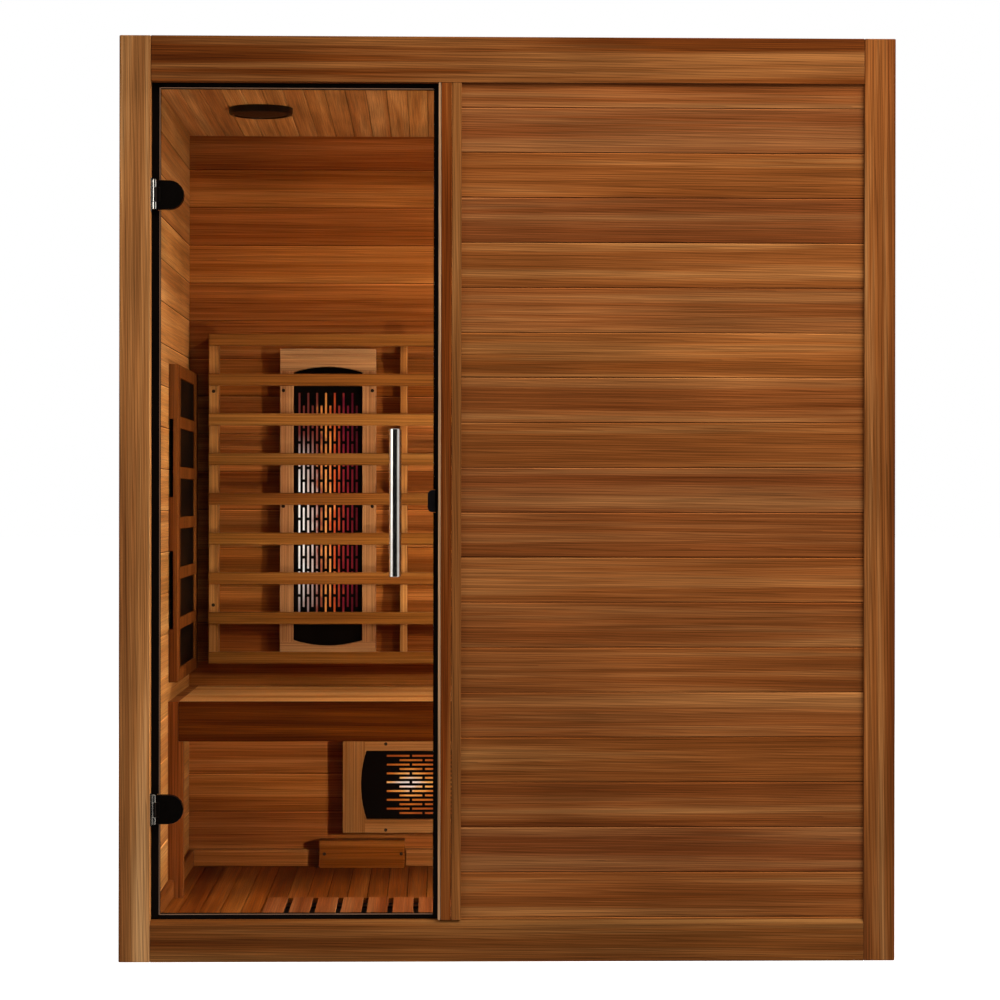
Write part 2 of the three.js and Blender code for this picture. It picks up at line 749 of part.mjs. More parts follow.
const benchSpan = [roomLeft + BENCH_RAIL + SEAT_GAP, roomRight - BENCH_RAIL - SEAT_GAP];
const fasciaSection = [
  [fasciaBack, fasciaBottom],
  [seatFront, fasciaBottom],
  ...arc(seatFront + FASCIA_EDGE, seatTop - FASCIA_EDGE, FASCIA_EDGE, Math.PI, Math.PI / 2, CORNER_STEPS),
  [fasciaBack, seatTop],
];
piece(cabin, "bench_fascia", prism("x", fasciaSection, benchSpan), CEDAR_DARK);
const seatSpan = [fasciaBack + SEAT_GAP, benchBack];
const seatJoints = series(fasciaBack + BOARD, BOARD, benchBack);
piece(
  cabin,
  "bench_seat",
  prism("x", flipped(boards(seatUnder, seatTop, seatSpan, seatJoints)), benchSpan),
  CEDAR,
);

// Backrest: slats across four uprights that are screwed to the back wall
const backrestBottom = seatTop + BACKREST_ABOVE_SEAT;
const backrestTop = backrestBottom + (SLAT_COUNT - 1) * SLAT_PITCH + SLAT_HEIGHT;
const uprightFront = roomBack - SEAT_GAP - UPRIGHT_DEPTH;
const slatSpan = wider([roomLeft, roomRight], -SLAT_END_GAP);
const outerUprightX = slatSpan[1] - OUTER_UPRIGHT_WIDTH / 2;
const slats = series(backrestBottom, SLAT_PITCH, backrestTop).map((height) =>
  block(
    slatSpan,
    [uprightFront - SLAT_THICKNESS, uprightFront],
    [height, height + SLAT_HEIGHT],
  ),
);
const uprights = [
  [-outerUprightX, OUTER_UPRIGHT_WIDTH],
  [-INNER_UPRIGHT_X, INNER_UPRIGHT_WIDTH],
  [INNER_UPRIGHT_X, INNER_UPRIGHT_WIDTH],
  [outerUprightX, OUTER_UPRIGHT_WIDTH],
].map(([x, width]) =>
  block(
    wider([x, x], width / 2),
    [uprightFront - SLAT_THICKNESS / 2, roomBack - SEAT_GAP],
    [backrestBottom, backrestTop],
  ),
);
piece(cabin, "backrest", join(...slats, ...uprights), CEDAR_LIGHT);

// Glowing heater: a timber frame, a slotted black grille and a pair of quartz tubes in their holders
function slots(depth) {
  return Array.from({ length: SLOT_COLUMNS }, (_, column) => {
    const x = (column - (SLOT_COLUMNS - 1) / 2) * SLOT_COLUMN_PITCH;
    const rows = SLOT_ROWS - (column % 2);
    return Array.from({ length: rows }, (_, row) => {
      const z = (row - (rows - 1) / 2) * SLOT_PITCH;
      return block(wider([x, x], SLOT_WIDTH / 2), depth, wider([z, z], SLOT_LENGTH / 2));
    });
  }).flat();
}

// The window's rounded ends: one shallow arc at each end, from the chord and the rise.
function windowOutline() {
  const half = WINDOW_WIDTH / 2;
  const radius = (half * half + WINDOW_RISE * WINDOW_RISE) / (2 * WINDOW_RISE);
  const centre = WINDOW_LENGTH / 2 - radius;
  const spread = Math.asin(half / radius);
  return [
    ...arc(0, centre, radius, Math.PI / 2 - spread, Math.PI / 2 + spread, ARC_STEPS),
    ...arc(0, -centre, radius, 1.5 * Math.PI - spread, 1.5 * Math.PI + spread, ARC_STEPS),
  ];
}

function glowingHeater(name, x, height, turn) {
  const unit = new THREE.Group();
  unit.position.set(x, roomBack, height);
  unit.rotation.y = turn;
  cabin.add(unit);
  const halfWidth = HEATER_WIDTH / 2;
  const halfLength = HEATER_LENGTH / 2;
  const pocketX = wider([0, 0], halfWidth - HEATER_RIM);
  const pocketZ = wider([0, 0], halfLength - HEATER_RIM);
  const frontInner = HEATER_FRONT - HEATER_DEPTH;
  piece(
    unit,
    `${name}_frame`,
    cut(
      block(wider([0, 0], halfWidth), [-HEATER_DEPTH, -SEAT_GAP], wider([0, 0], halfLength)),
      block(pocketX, [frontInner, OVERCUT], pocketZ),
      prism("y", windowOutline(), [-HEATER_DEPTH - OVERCUT, OVERCUT]),
    ),
    CEDAR_LIGHT,
  );
  const sheetX = wider(pocketX, -SEAT_GAP);
  const sheetZ = wider(pocketZ, -SEAT_GAP);
  const sheetFront = frontInner + SEAT_GAP;
  const sheetBack = sheetFront + GRILLE_SHEET;
  piece(
    unit,
    `${name}_grille`,
    cut(
      join(
        block(sheetX, [sheetFront, sheetBack], sheetZ),
        block([sheetX[0], sheetX[0] + GRILLE_SHEET], [sheetFront, -SEAT_GAP], sheetZ),
        block([sheetX[1] - GRILLE_SHEET, sheetX[1]], [sheetFront, -SEAT_GAP], sheetZ),
      ),
      ...slots([sheetFront - OVERCUT, sheetBack + OVERCUT]),
    ),
    BLACK_ENAMEL,
  );
  const holder = (end) =>
    block(
      wider([0, 0], HOLDER_WIDTH / 2),
      [-SEAT_GAP - HOLDER_DEPTH, -SEAT_GAP],
      [(end * TUBE_LENGTH) / 2 - HOLDER_LENGTH / 2, (end * TUBE_LENGTH) / 2 + HOLDER_LENGTH / 2],
    );
  const tube = (side) =>
    rod("z", (side * TUBE_SPACING) / 2, -TUBE_FROM_WALL, TUBE_RADIUS, wider([0, 0], TUBE_LENGTH / 2));
  piece(unit, `${name}_element`, join(holder(-1), holder(1), tube(-1), tube(1)), GLOW);
}
glowingHeater("back_left_heater", -BACK_HEATER_X, BACK_HEATER_HEIGHT, 0);
glowingHeater("back_right_heater", BACK_HEATER_X, BACK_HEATER_HEIGHT, 0);
glowingHeater("calf_heater", CALF_HEATER_X, CALF_HEATER_HEIGHT, Math.PI / 2);

// Cable cover: a shallow box, open towards the wall
const coverX = wider([COVER_X, COVER_X], COVER_LENGTH / 2);
const coverZ = [FLOOR_HEIGHT + SEAT_GAP, FLOOR_HEIGHT + COVER_HEIGHT];
const coverFront = roomBack - COVER_DEPTH;
piece(
  cabin,
  "cable_cover",
  cut(
    block(coverX, [coverFront, roomBack - SEAT_GAP], coverZ),
    block(
      wider(coverX, -COVER_WALL),
      [coverFront + COVER_WALL, roomBack + OVERCUT],
      wider(coverZ, -COVER_WALL),
    ),
  ),
  CEDAR_LIGHT,
);

// Side wall heaters: a ladder frame with vents in its front end, and a carbon sheet behind the panes
const sideHeaterHeight = PANE_COUNT * PANE_HEIGHT + (PANE_COUNT - 1) * PANE_GAP + 2 * PANE_MARGIN;
const sideHeaterY = [
  roomBack - SIDE_HEATER_BACK_GAP - SIDE_HEATER_LENGTH,
  roomBack - SIDE_HEATER_BACK_GAP,
];
const sideHeaterZ = [SIDE_HEATER_BOTTOM, SIDE_HEATER_BOTTOM + sideHeaterHeight];
for (const [side, wall, inward] of [["left", roomLeft, 1], ["right", roomRight, -1]]) {
  const face = wall + inward * SIDE_HEATER_DEPTH;
  const ladderBack = face - inward * SIDE_HEATER_FRONT;
  const wallSide = wall + inward * SEAT_GAP;
  const paneZ = wider(sideHeaterZ, -PANE_MARGIN);
  const paneStarts = series(paneZ[0], PANE_HEIGHT + PANE_GAP, paneZ[1]);
  const paneX = [ladderBack - inward * BITE, face + inward * BITE];
  const paneY = wider(sideHeaterY, -SIDE_HEATER_STILE);
  const panes = paneStarts.map((z) => block(paneX, paneY, [z, z + PANE_HEIGHT]));
  const vents = [LOWER_VENT_OFFSET, UPPER_VENT_OFFSET].map((offset) =>
    block(
      [wall - inward * BITE, wall + inward * VENT_WIDTH],
      [sideHeaterY[0] - OVERCUT, sideHeaterY[0] + SIDE_HEATER_RIM + OVERCUT],
      [sideHeaterZ[0] + offset, sideHeaterZ[0] + offset + VENT_HEIGHT],
    ),
  );
  const pocketY = wider(sideHeaterY, -SIDE_HEATER_RIM);
  const pocketZ = wider(sideHeaterZ, -SIDE_HEATER_RIM);
  piece(
    cabin,
    `${side}_heater_frame`,
    cut(
      block([wallSide, face], sideHeaterY, sideHeaterZ),
      block([wall - inward * BITE, ladderBack], pocketY, pocketZ),
      ...panes,
      ...vents,
    ),
    CEDAR_LIGHT,
  );
  const sheetFace = ladderBack - inward * SEAT_GAP;
  piece(
    cabin,
    `${side}_heater_panel`,
    block(
      [sheetFace - inward * CARBON_SHEET, sheetFace],
      wider(pocketY, -SEAT_GAP),
      wider(pocketZ, -SEAT_GAP),
    ),
    CARBON,
  );
}

// Floor heater: a carbon sheet in the deck's well, and a slatted grate over it
const grateY = [grateFront, grateBack];
const barBottom = deckUnder + FLOOR_SHEET + SEAT_GAP;
const slatBottom = barBottom + GRATE_BAR_THICKNESS;
const slatTop = slatBottom + GRATE_SLAT_THICKNESS;
piece(cabin, "floor_heater_panel", block(grateX, grateY, [deckUnder, deckUnder + FLOOR_SHEET]), CARBON);
const grateSlats = series(grateX[0], GRATE_SLAT + GRATE_GAP, grateX[1] - GRATE_GAP).map((x) =>
  block([x, x + GRATE_SLAT], grateY, [slatBottom, slatTop]),
);
const barStarts = [grateFront + GRATE_BAR_INSET, grateBack - GRATE_BAR_INSET - GRATE_BAR_WIDTH];
const grateBars = barStarts.map((y) =>
  block(grateX, [y, y + GRATE_BAR_WIDTH], [barBottom, slatBottom + BITE]),
);
piece(cabin, "floor_heater_grate", join(...grateSlats, ...grateBars), CEDAR_LIGHT);

// Control panel on the inside of the front wall, with three push buttons
const panelBack = roomFront + SEAT_GAP;
const panelFace = roomFront + PANEL_THICKNESS;
const panelX = wider([PANEL_X, PANEL_X], PANEL_WIDTH / 2);
const panelZ = wider([PANEL_CENTRE_HEIGHT, PANEL_CENTRE_HEIGHT], PANEL_HEIGHT / 2);
const roundX = wider(panelX, -PANEL_CORNER);
const roundZ = wider(panelZ, -PANEL_CORNER);
const roundedPanel = [
  ...arc(roundX[1], roundZ[0], PANEL_CORNER, -Math.PI / 2, 0, CORNER_STEPS),
  ...arc(roundX[1], roundZ[1], PANEL_CORNER, 0, Math.PI / 2, CORNER_STEPS),
  ...arc(roundX[0], roundZ[1], PANEL_CORNER, Math.PI / 2, Math.PI, CORNER_STEPS),
  ...arc(roundX[0], roundZ[0], PANEL_CORNER, Math.PI, 1.5 * Math.PI, CORNER_STEPS),
];
const displayHeight = PANEL_CENTRE_HEIGHT + DISPLAY_RISE;
const buttonHeight = PANEL_CENTRE_HEIGHT - BUTTON_DROP;
const buttonX = (place) => PANEL_X + place * BUTTON_SPACING;
const buttonFace = panelFace + BUTTON_PROUD;
const buttonBack = buttonFace - BUTTON_LENGTH;
piece(
  cabin,
  "control_panel",
  cut(
    prism("y", roundedPanel, [panelBack, panelFace]),
    block(
      wider([PANEL_X, PANEL_X], DISPLAY_WIDTH / 2),
      [panelFace - DISPLAY_RECESS, panelFace + OVERCUT],
      wider([displayHeight, displayHeight], DISPLAY_HEIGHT / 2),
    ),
    ...[-1, 0, 1].map((place) =>
      rod(
        "y",
        buttonX(place),
        buttonHeight,
        BUTTON_RADIUS + BUTTON_GAP,
        [buttonBack - BUTTON_TRAVEL - SEAT_GAP, panelFace + OVERCUT],
      ),
    ),
  ),
  GREY_PLASTIC,
);
for (const [name, place] of [["down_button", -1], ["power_button", 0], ["up_button", 1]]) {
  piece(
    cabin,
    name,
    rod("y", buttonX(place), buttonHeight, BUTTON_RADIUS, [buttonBack, buttonFace]),
    BLACK_PLASTIC,
  );
}

export default cabin;
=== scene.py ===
# %% [markdown]
# # Infrared sauna cabin
# A cedar cabin with a frameless glass door on the left, a boarded wall on the right and glowing heaters
# inside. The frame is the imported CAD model. This script keeps its places and sizes, and gives it wood,
# glass, metal and light.

import math

import bmesh
import bpy
from mathutils import Matrix, Vector


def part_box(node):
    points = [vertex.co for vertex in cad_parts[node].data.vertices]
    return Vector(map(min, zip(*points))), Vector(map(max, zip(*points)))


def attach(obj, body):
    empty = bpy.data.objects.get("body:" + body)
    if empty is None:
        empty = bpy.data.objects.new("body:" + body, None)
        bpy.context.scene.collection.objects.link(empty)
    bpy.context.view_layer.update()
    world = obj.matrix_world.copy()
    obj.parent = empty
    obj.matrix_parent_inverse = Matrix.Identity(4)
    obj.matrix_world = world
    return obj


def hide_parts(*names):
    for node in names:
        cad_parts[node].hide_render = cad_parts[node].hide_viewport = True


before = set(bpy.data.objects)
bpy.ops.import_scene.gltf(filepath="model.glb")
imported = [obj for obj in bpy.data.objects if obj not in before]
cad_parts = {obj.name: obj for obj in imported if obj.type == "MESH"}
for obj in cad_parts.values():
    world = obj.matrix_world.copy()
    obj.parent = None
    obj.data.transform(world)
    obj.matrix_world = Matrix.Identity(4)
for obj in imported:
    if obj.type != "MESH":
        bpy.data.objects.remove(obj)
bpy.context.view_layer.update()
scene = bpy.context.scene
print("frame:", len(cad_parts), "nodes")

# %% [markdown]
# ## Camera
# The photograph was taken from about six metres with a long lens, a little left of the middle and at
# chest height. A camera could be aimed by hand, but the corner points of the front face give its place,
# turn and focal length. Its three axes are written as a matrix, so that the very small roll is kept.

# %% Camera
CAMERA_PLACE = Vector((-0.15353, -6.44535, 0.95697))
YAW, PITCH, ROLL = 0.02332, -0.00102, 0.00128
FOCAL_PIXELS, IMAGE_PIXELS = 2840, 1000
SENSOR_WIDTH, FAR_LIMIT = 36, 200


def photo_camera():
    forward = Vector((math.sin(YAW) * math.cos(PITCH), math.cos(YAW) * math.cos(PITCH), math.sin(PITCH)))
    level = Vector((math.cos(YAW), -math.sin(YAW), 0))
    upright = level.cross(forward)
    right = math.cos(ROLL) * level + math.sin(ROLL) * upright
    up = math.cos(ROLL) * upright - math.sin(ROLL) * level
    data = bpy.data.cameras.new("photo_camera")
    data.sensor_width = SENSOR_WIDTH
    data.lens = SENSOR_WIDTH * FOCAL_PIXELS / IMAGE_PIXELS
    data.clip_end = FAR_LIMIT
    camera = bpy.data.objects.new("photo_camera", data)
    turn = Matrix((right, up, -forward)).transposed()
    camera.matrix_world = Matrix.Translation(CAMERA_PLACE) @ turn.to_4x4()
    scene.collection.objects.link(camera)
    scene.camera = camera
    return camera


print("camera lens:", round(photo_camera().data.lens, 2), "mm")

# %% [markdown]
# ## Small helpers for shader nodes
# Every finish below is a small tree of nodes, so one helper makes a node, sets its inputs and links the
# sockets that are handed to it. Colours are written as the eye sees them, from 0 to 255, and turned into
# linear light.

# %% Node helpers
FULL_LEVEL, CURVE_START, CURVE_SLOPE, CURVE_OFFSET, CURVE_POWER = 255, 0.04045, 12.92, 0.055, 2.4


def node(tree, kind, inputs=None, **settings):
    made = tree.nodes.new(kind)
    for key, value in settings.items():
        setattr(made, key, value)
    for key, value in (inputs or {}).items():
        if isinstance(value, bpy.types.NodeSocket):
            tree.links.new(value, made.inputs[key])
        else:
            made.inputs[key].default_value = value
    return made


def tone(red, green, blue):
    def linear(level):
        level /= FULL_LEVEL
        if level <= CURVE_START:
            return level / CURVE_SLOPE
        return ((level + CURVE_OFFSET) / (1 + CURVE_OFFSET)) ** CURVE_POWER

    return (linear(red), linear(green), linear(blue), 1.0)


def grey(level):
    return (level, level, level, 1.0)


def greys(stops):
    return [(place, grey(level)) for place, level in stops]


def sums(tree, operation, *values):
    return node(tree, "ShaderNodeMath", dict(enumerate(values)), operation=operation).outputs[0]


def vectors(tree, operation, first, second):
    return node(tree, "ShaderNodeVectorMath", {0: first, 1: second}, operation=operation).outputs[0]


def spans(tree, value, *limits):
    return node(tree, "ShaderNodeMapRange", {0: value, **dict(enumerate(limits, 1))}).outputs[0]


def noise(tree, vector, scale, detail, **more):
    inputs = {"Vector": vector, "Scale": scale, "Detail": detail, **more}
    return node(tree, "ShaderNodeTexNoise", inputs).outputs["Fac"]


def object_place(tree):
    return node(tree, "ShaderNodeTexCoord").outputs["Object"]


def parted(tree, vector):
    return node(tree, "ShaderNodeSeparateXYZ", {"Vector": vector}).outputs


def ramp(tree, factor, *stops):
    made = node(tree, "ShaderNodeValToRGB", {"Fac": factor})
    row = made.color_ramp
    while len(row.elements) < len(stops):
        row.elements.new(0.5)
    for element, (place, colour) in zip(row.elements, stops):
        element.position = place
        element.color = colour
    return made.outputs["Color"]


def mixed(tree, kind, factor, first, second):
    made = node(tree, "ShaderNodeMix", data_type="RGBA", blend_type=kind)
    for key, value in (("Factor_Float", factor), ("A_Color", first), ("B_Color", second)):
        socket = next(s for s in made.inputs if s.identifier == key)
        if isinstance(value, bpy.types.NodeSocket):
            tree.links.new(value, socket)
        else:
            socket.default_value = value
    return next(s for s in made.outputs if s.identifier == "Result_Color")


def blank(name):
    material = bpy.data.materials.new(name)
    material.use_nodes = True
    material.node_tree.nodes.clear()
    return material, material.node_tree


def close(tree, shader):
    node(tree, "ShaderNodeOutputMaterial", {"Surface": shader})


def surfaced(tree, inputs):
    close(tree, node(tree, "ShaderNodeBsdfPrincipled", inputs).outputs[0])


print("node helpers ready")

# %% [markdown]
# ## Cedar
# The cabin is red cedar: straight fine grain along each board, dark latewood lines, and boards that
# differ in tone. A picture of wood could be laid on each board, but then the grain would repeat and would
# not follow the sizes. Here, noise is stretched along the grain, and each board's number picks its own
# place in the noise and its own tone. A board is dark along its lower edge and light along its upper edge,
# which is how light from above draws the joints.

# %% Cedar finish
X, Y, Z = 0, 1, 2
LENGTHWISE = {"bands": 0.5, "rings": 0.022, "fibres": 3.0}
CROSSWISE = {"bands": 24.0, "rings": 1.0, "fibres": 400.0}
STREAK_DETAIL = {"bands": 4.0, "fibres": 2.0}
STREAK_SCALE, STREAK_ROUGH, STREAK_BEND = 1.0, 0.6, 0.4
RING_PITCH, WAVES_PER_RING = 0.0050, 0.628
RING_WAVE = {"Distortion": 10.0, "Detail": 3.0, "Detail Scale": 0.4, "Detail Roughness": 0.6}
BAND_STOPS = (0.33, 0.5, 0.70)
RING_STOPS = ((0.05, 1.14), (0.5, 1.04), (0.9, 0.56))
FIBRE_STOPS, FIBRE_SHARE = ((0.39, 0.68), (0.61, 1.21)), 0.85
CLOUD_STOPS, CLOUD_SHARE = ((0.35, 0.78), (0.65, 1.2)), 0.7
CLOUD_SCALE, CLOUD_DETAIL = 2.2, 2.0
OWN_SHIFT, HUE_SPREAD, HUE_START = (11, 13, 17), 0.006, 0.497
SHADE_FROM, SHADE_TO, SHADE_LEVEL = 0.0006, 0.0022, 0.3
LIP_FROM, LIP_TO = 0.0012, 0.0036
WELL_SHADE = 0.06
FIBRE_RISE, RING_DIP, GRAIN_BUMP, GRAIN_DEPTH = 0.6, 0.5, 0.2, 0.0005
ROUGH, ROUGH_SPREAD, GLOSS = 0.55, 0.22, 0.05


def cedar(
    name,
    grain,
    tones,
    boards=None,
    variety=0.22,
    seed=0.0,
    ring=RING_PITCH,
    figure=0.55,
    lip=1.7,
    shaded=None,
    turned=None,
):
    material, tree = blank(name)
    place = object_place(tree)
    sides = parted(tree, place)
    if boards:
        axis, first, pitch = boards
        steps = sums(tree, "MULTIPLY", sums(tree, "SUBTRACT", sides[axis], first), 1 / pitch)
        number = sums(tree, "ADD", sums(tree, "FLOOR", steps), seed)
        own = node(tree, "ShaderNodeTexWhiteNoise", {"W": number}, noise_dimensions="1D").outputs
        seat = vectors(tree, "ADD", place, vectors(tree, "MULTIPLY", own["Color"], OWN_SHIFT))
    else:
        seat = vectors(tree, "ADD", place, (seed, seed, seed))

    if turned:
        axis, start, end = turned
        before = sums(tree, "LESS_THAN", sides[axis], start)
        beyond = sums(tree, "MAXIMUM", before, sums(tree, "GREATER_THAN", sides[axis], end))
        parts = parted(tree, seat)
        swapped = node(tree, "ShaderNodeCombineXYZ", {"X": parts[Z], "Y": parts[Y], "Z": parts[X]})
        seat = mixed(tree, "MIX", beyond, seat, swapped.outputs[0])

    def drawn_out(kind):
        stretch = [CROSSWISE[kind]] * 3
        stretch[grain] = LENGTHWISE[kind]
        return vectors(tree, "MULTIPLY", seat, stretch)

    def streaks(kind):
        more = {"Roughness": STREAK_ROUGH, "Distortion": STREAK_BEND}
        return noise(tree, drawn_out(kind), STREAK_SCALE, STREAK_DETAIL[kind], **more)

    fibres = streaks("fibres")
    rings = node(
        tree,
        "ShaderNodeTexWave",
        {"Vector": drawn_out("rings"), "Scale": WAVES_PER_RING / ring, **RING_WAVE},
        wave_type="BANDS",
        bands_direction="DIAGONAL",
        wave_profile="SAW",
    ).outputs["Fac"]
    cloud = noise(tree, seat, CLOUD_SCALE, CLOUD_DETAIL)
    colour = ramp(tree, streaks("bands"), *zip(BAND_STOPS, tones))
    for share, source, stops in (
        (figure, rings, RING_STOPS),
        (FIBRE_SHARE, fibres, FIBRE_STOPS),
        (CLOUD_SHARE, cloud, CLOUD_STOPS),
    ):
        colour = mixed(tree, "MULTIPLY", share, colour, ramp(tree, source, *greys(stops)))
    if boards:
        brighter = sums(tree, "MULTIPLY_ADD", own["Value"], variety, 1 - variety / 2)
        hue = sums(tree, "MULTIPLY_ADD", own["Value"], HUE_SPREAD, HUE_START)
        inputs = {"Hue": hue, "Value": brighter, "Color": colour}
        colour = node(tree, "ShaderNodeHueSaturation", inputs).outputs[0]
        within = sums(tree, "FRACT", steps)
        above = sums(tree, "MULTIPLY", within, pitch)
        below = sums(tree, "MULTIPLY", sums(tree, "SUBTRACT", 1.0, within), pitch)
        shade = spans(tree, above, SHADE_FROM, SHADE_TO, SHADE_LEVEL, 1.0)
        colour = mixed(tree, "MULTIPLY", 1.0, colour, shade)
        colour = mixed(tree, "MULTIPLY", 1.0, colour, spans(tree, below, LIP_FROM, LIP_TO, lip, 1.0))
    # painted shade: below the given height the grate is darkened, for the shade between its slats
    if shaded:
        colour = mixed(tree, "MULTIPLY", 1.0, colour, spans(tree, sides[Z], *shaded, WELL_SHADE, 1.0))
    dips = sums(tree, "MULTIPLY", rings, RING_DIP)
    height = sums(tree, "SUBTRACT", sums(tree, "MULTIPLY", fibres, FIBRE_RISE), dips)
    bump = node(tree, "ShaderNodeBump", {"Strength": GRAIN_BUMP, "Distance": GRAIN_DEPTH, "Height": height})
    worn = sums(tree, "MULTIPLY_ADD", fibres, ROUGH_SPREAD, ROUGH - ROUGH_SPREAD / 2)
    surfaced(
        tree,
        {"Base Color": colour, "Roughness": worn, "Specular IOR Level": GLOSS, "Normal": bump.outputs[0]},
    )
    return material


print("cedar finish ready")

# %% [markdown]
# ## Timber tones
# Boards cut from one kind of tree still differ, and each timber of the cabin has its own tone. One stain
# could serve them all, but then the frame, the walls and the bench would run into each other. So each kind
# of piece has a dark, a middle and a light tone, and a seed that moves it to its own place in the noise.
# Some tones also carry painted light: the fascia's very dark tone is painted shade, the side heaters'
# frames are darker partly as painted shade, and the doorway post's light edge is a painted highlight.
# Walls, floor, ceiling, seat, slats and roof also say where their boards start and how wide they are.

# %% Timber tones
BOARD, FIRST_JOINT = 0.0928, 0.0900
STRIP, FIRST_STRIP = 0.0452, -0.711
SEAT_EDGE, ROOF_BOARD = 0.0150, 0.2
SLAT_START, SLAT_PITCH = 0.5165, 0.0967
# SLAT_UNDER and SLAT_OVER bound the grate's painted shade below its slat tops
SLAT_UNDER, SLAT_OVER = 0.0486, 0.0506
WINDOW_REACH, HEATER_HIGH, CALF_X = 0.331, 0.934, 0.010
STILE_RING = 0.0062
level_boards, floor_strips = (Z, FIRST_JOINT, BOARD), (X, FIRST_STRIP, STRIP)
upright_window = (Z, HEATER_HIGH - WINDOW_REACH, HEATER_HIGH + WINDOW_REACH)
lying_window = (X, CALF_X - WINDOW_REACH, CALF_X + WINDOW_REACH)


def shades(levels):
    return tuple(tone(*level) for level in levels)


def timber(name, grain, *levels, **look):
    return cedar(name + "_cedar", grain, shades(levels), **look)


OUTER = ((103, 50, 16), (127, 70, 30), (155, 101, 54))
LEFT_STILE = ((108, 57, 22), (163, 106, 56), (212, 161, 106))
RIGHT_STILE = ((86, 38, 11), (127, 72, 30), (168, 116, 66))
TOP_RAIL = ((66, 23, 2), (100, 48, 13), (138, 86, 42))
BOTTOM_RAIL = ((86, 41, 10), (117, 66, 26), (148, 98, 50))
JAMB = ((72, 25, 3), (108, 49, 12), (144, 86, 38))
JAMB_TRIM = ((98, 52, 18), (132, 80, 37), (164, 114, 64))
# painted highlight: a light tone for the doorway post's edge, where its corner catches light
JAMB_HIGHLIGHT = ((150, 110, 76), (172, 132, 96), (188, 150, 112))
BACK_WALL = ((130, 69, 25), (154, 91, 41), (175, 114, 59))
SIDE_WALL = ((148, 96, 50), (172, 119, 66), (194, 147, 92))
CEILING = ((156, 102, 55), (181, 126, 72), (202, 154, 98))
FLOOR = ((101, 45, 9), (130, 68, 21), (154, 94, 43))
SEAT = ((172, 111, 56), (212, 152, 88), (228, 181, 124))
# painted shade: the fascia's very dark tone stands for the shade on its front face
FASCIA = ((50, 16, 1), (70, 29, 3), (96, 48, 9))
SLAT = ((112, 65, 25), (138, 89, 39), (160, 114, 60))
UPRIGHT = ((138, 86, 42), (164, 110, 58), (184, 136, 82))
SUPPORT = ((104, 50, 16), (134, 76, 34), (160, 106, 60))
HEATER_FRAME = ((168, 115, 75), (197, 148, 102), (214, 172, 130))
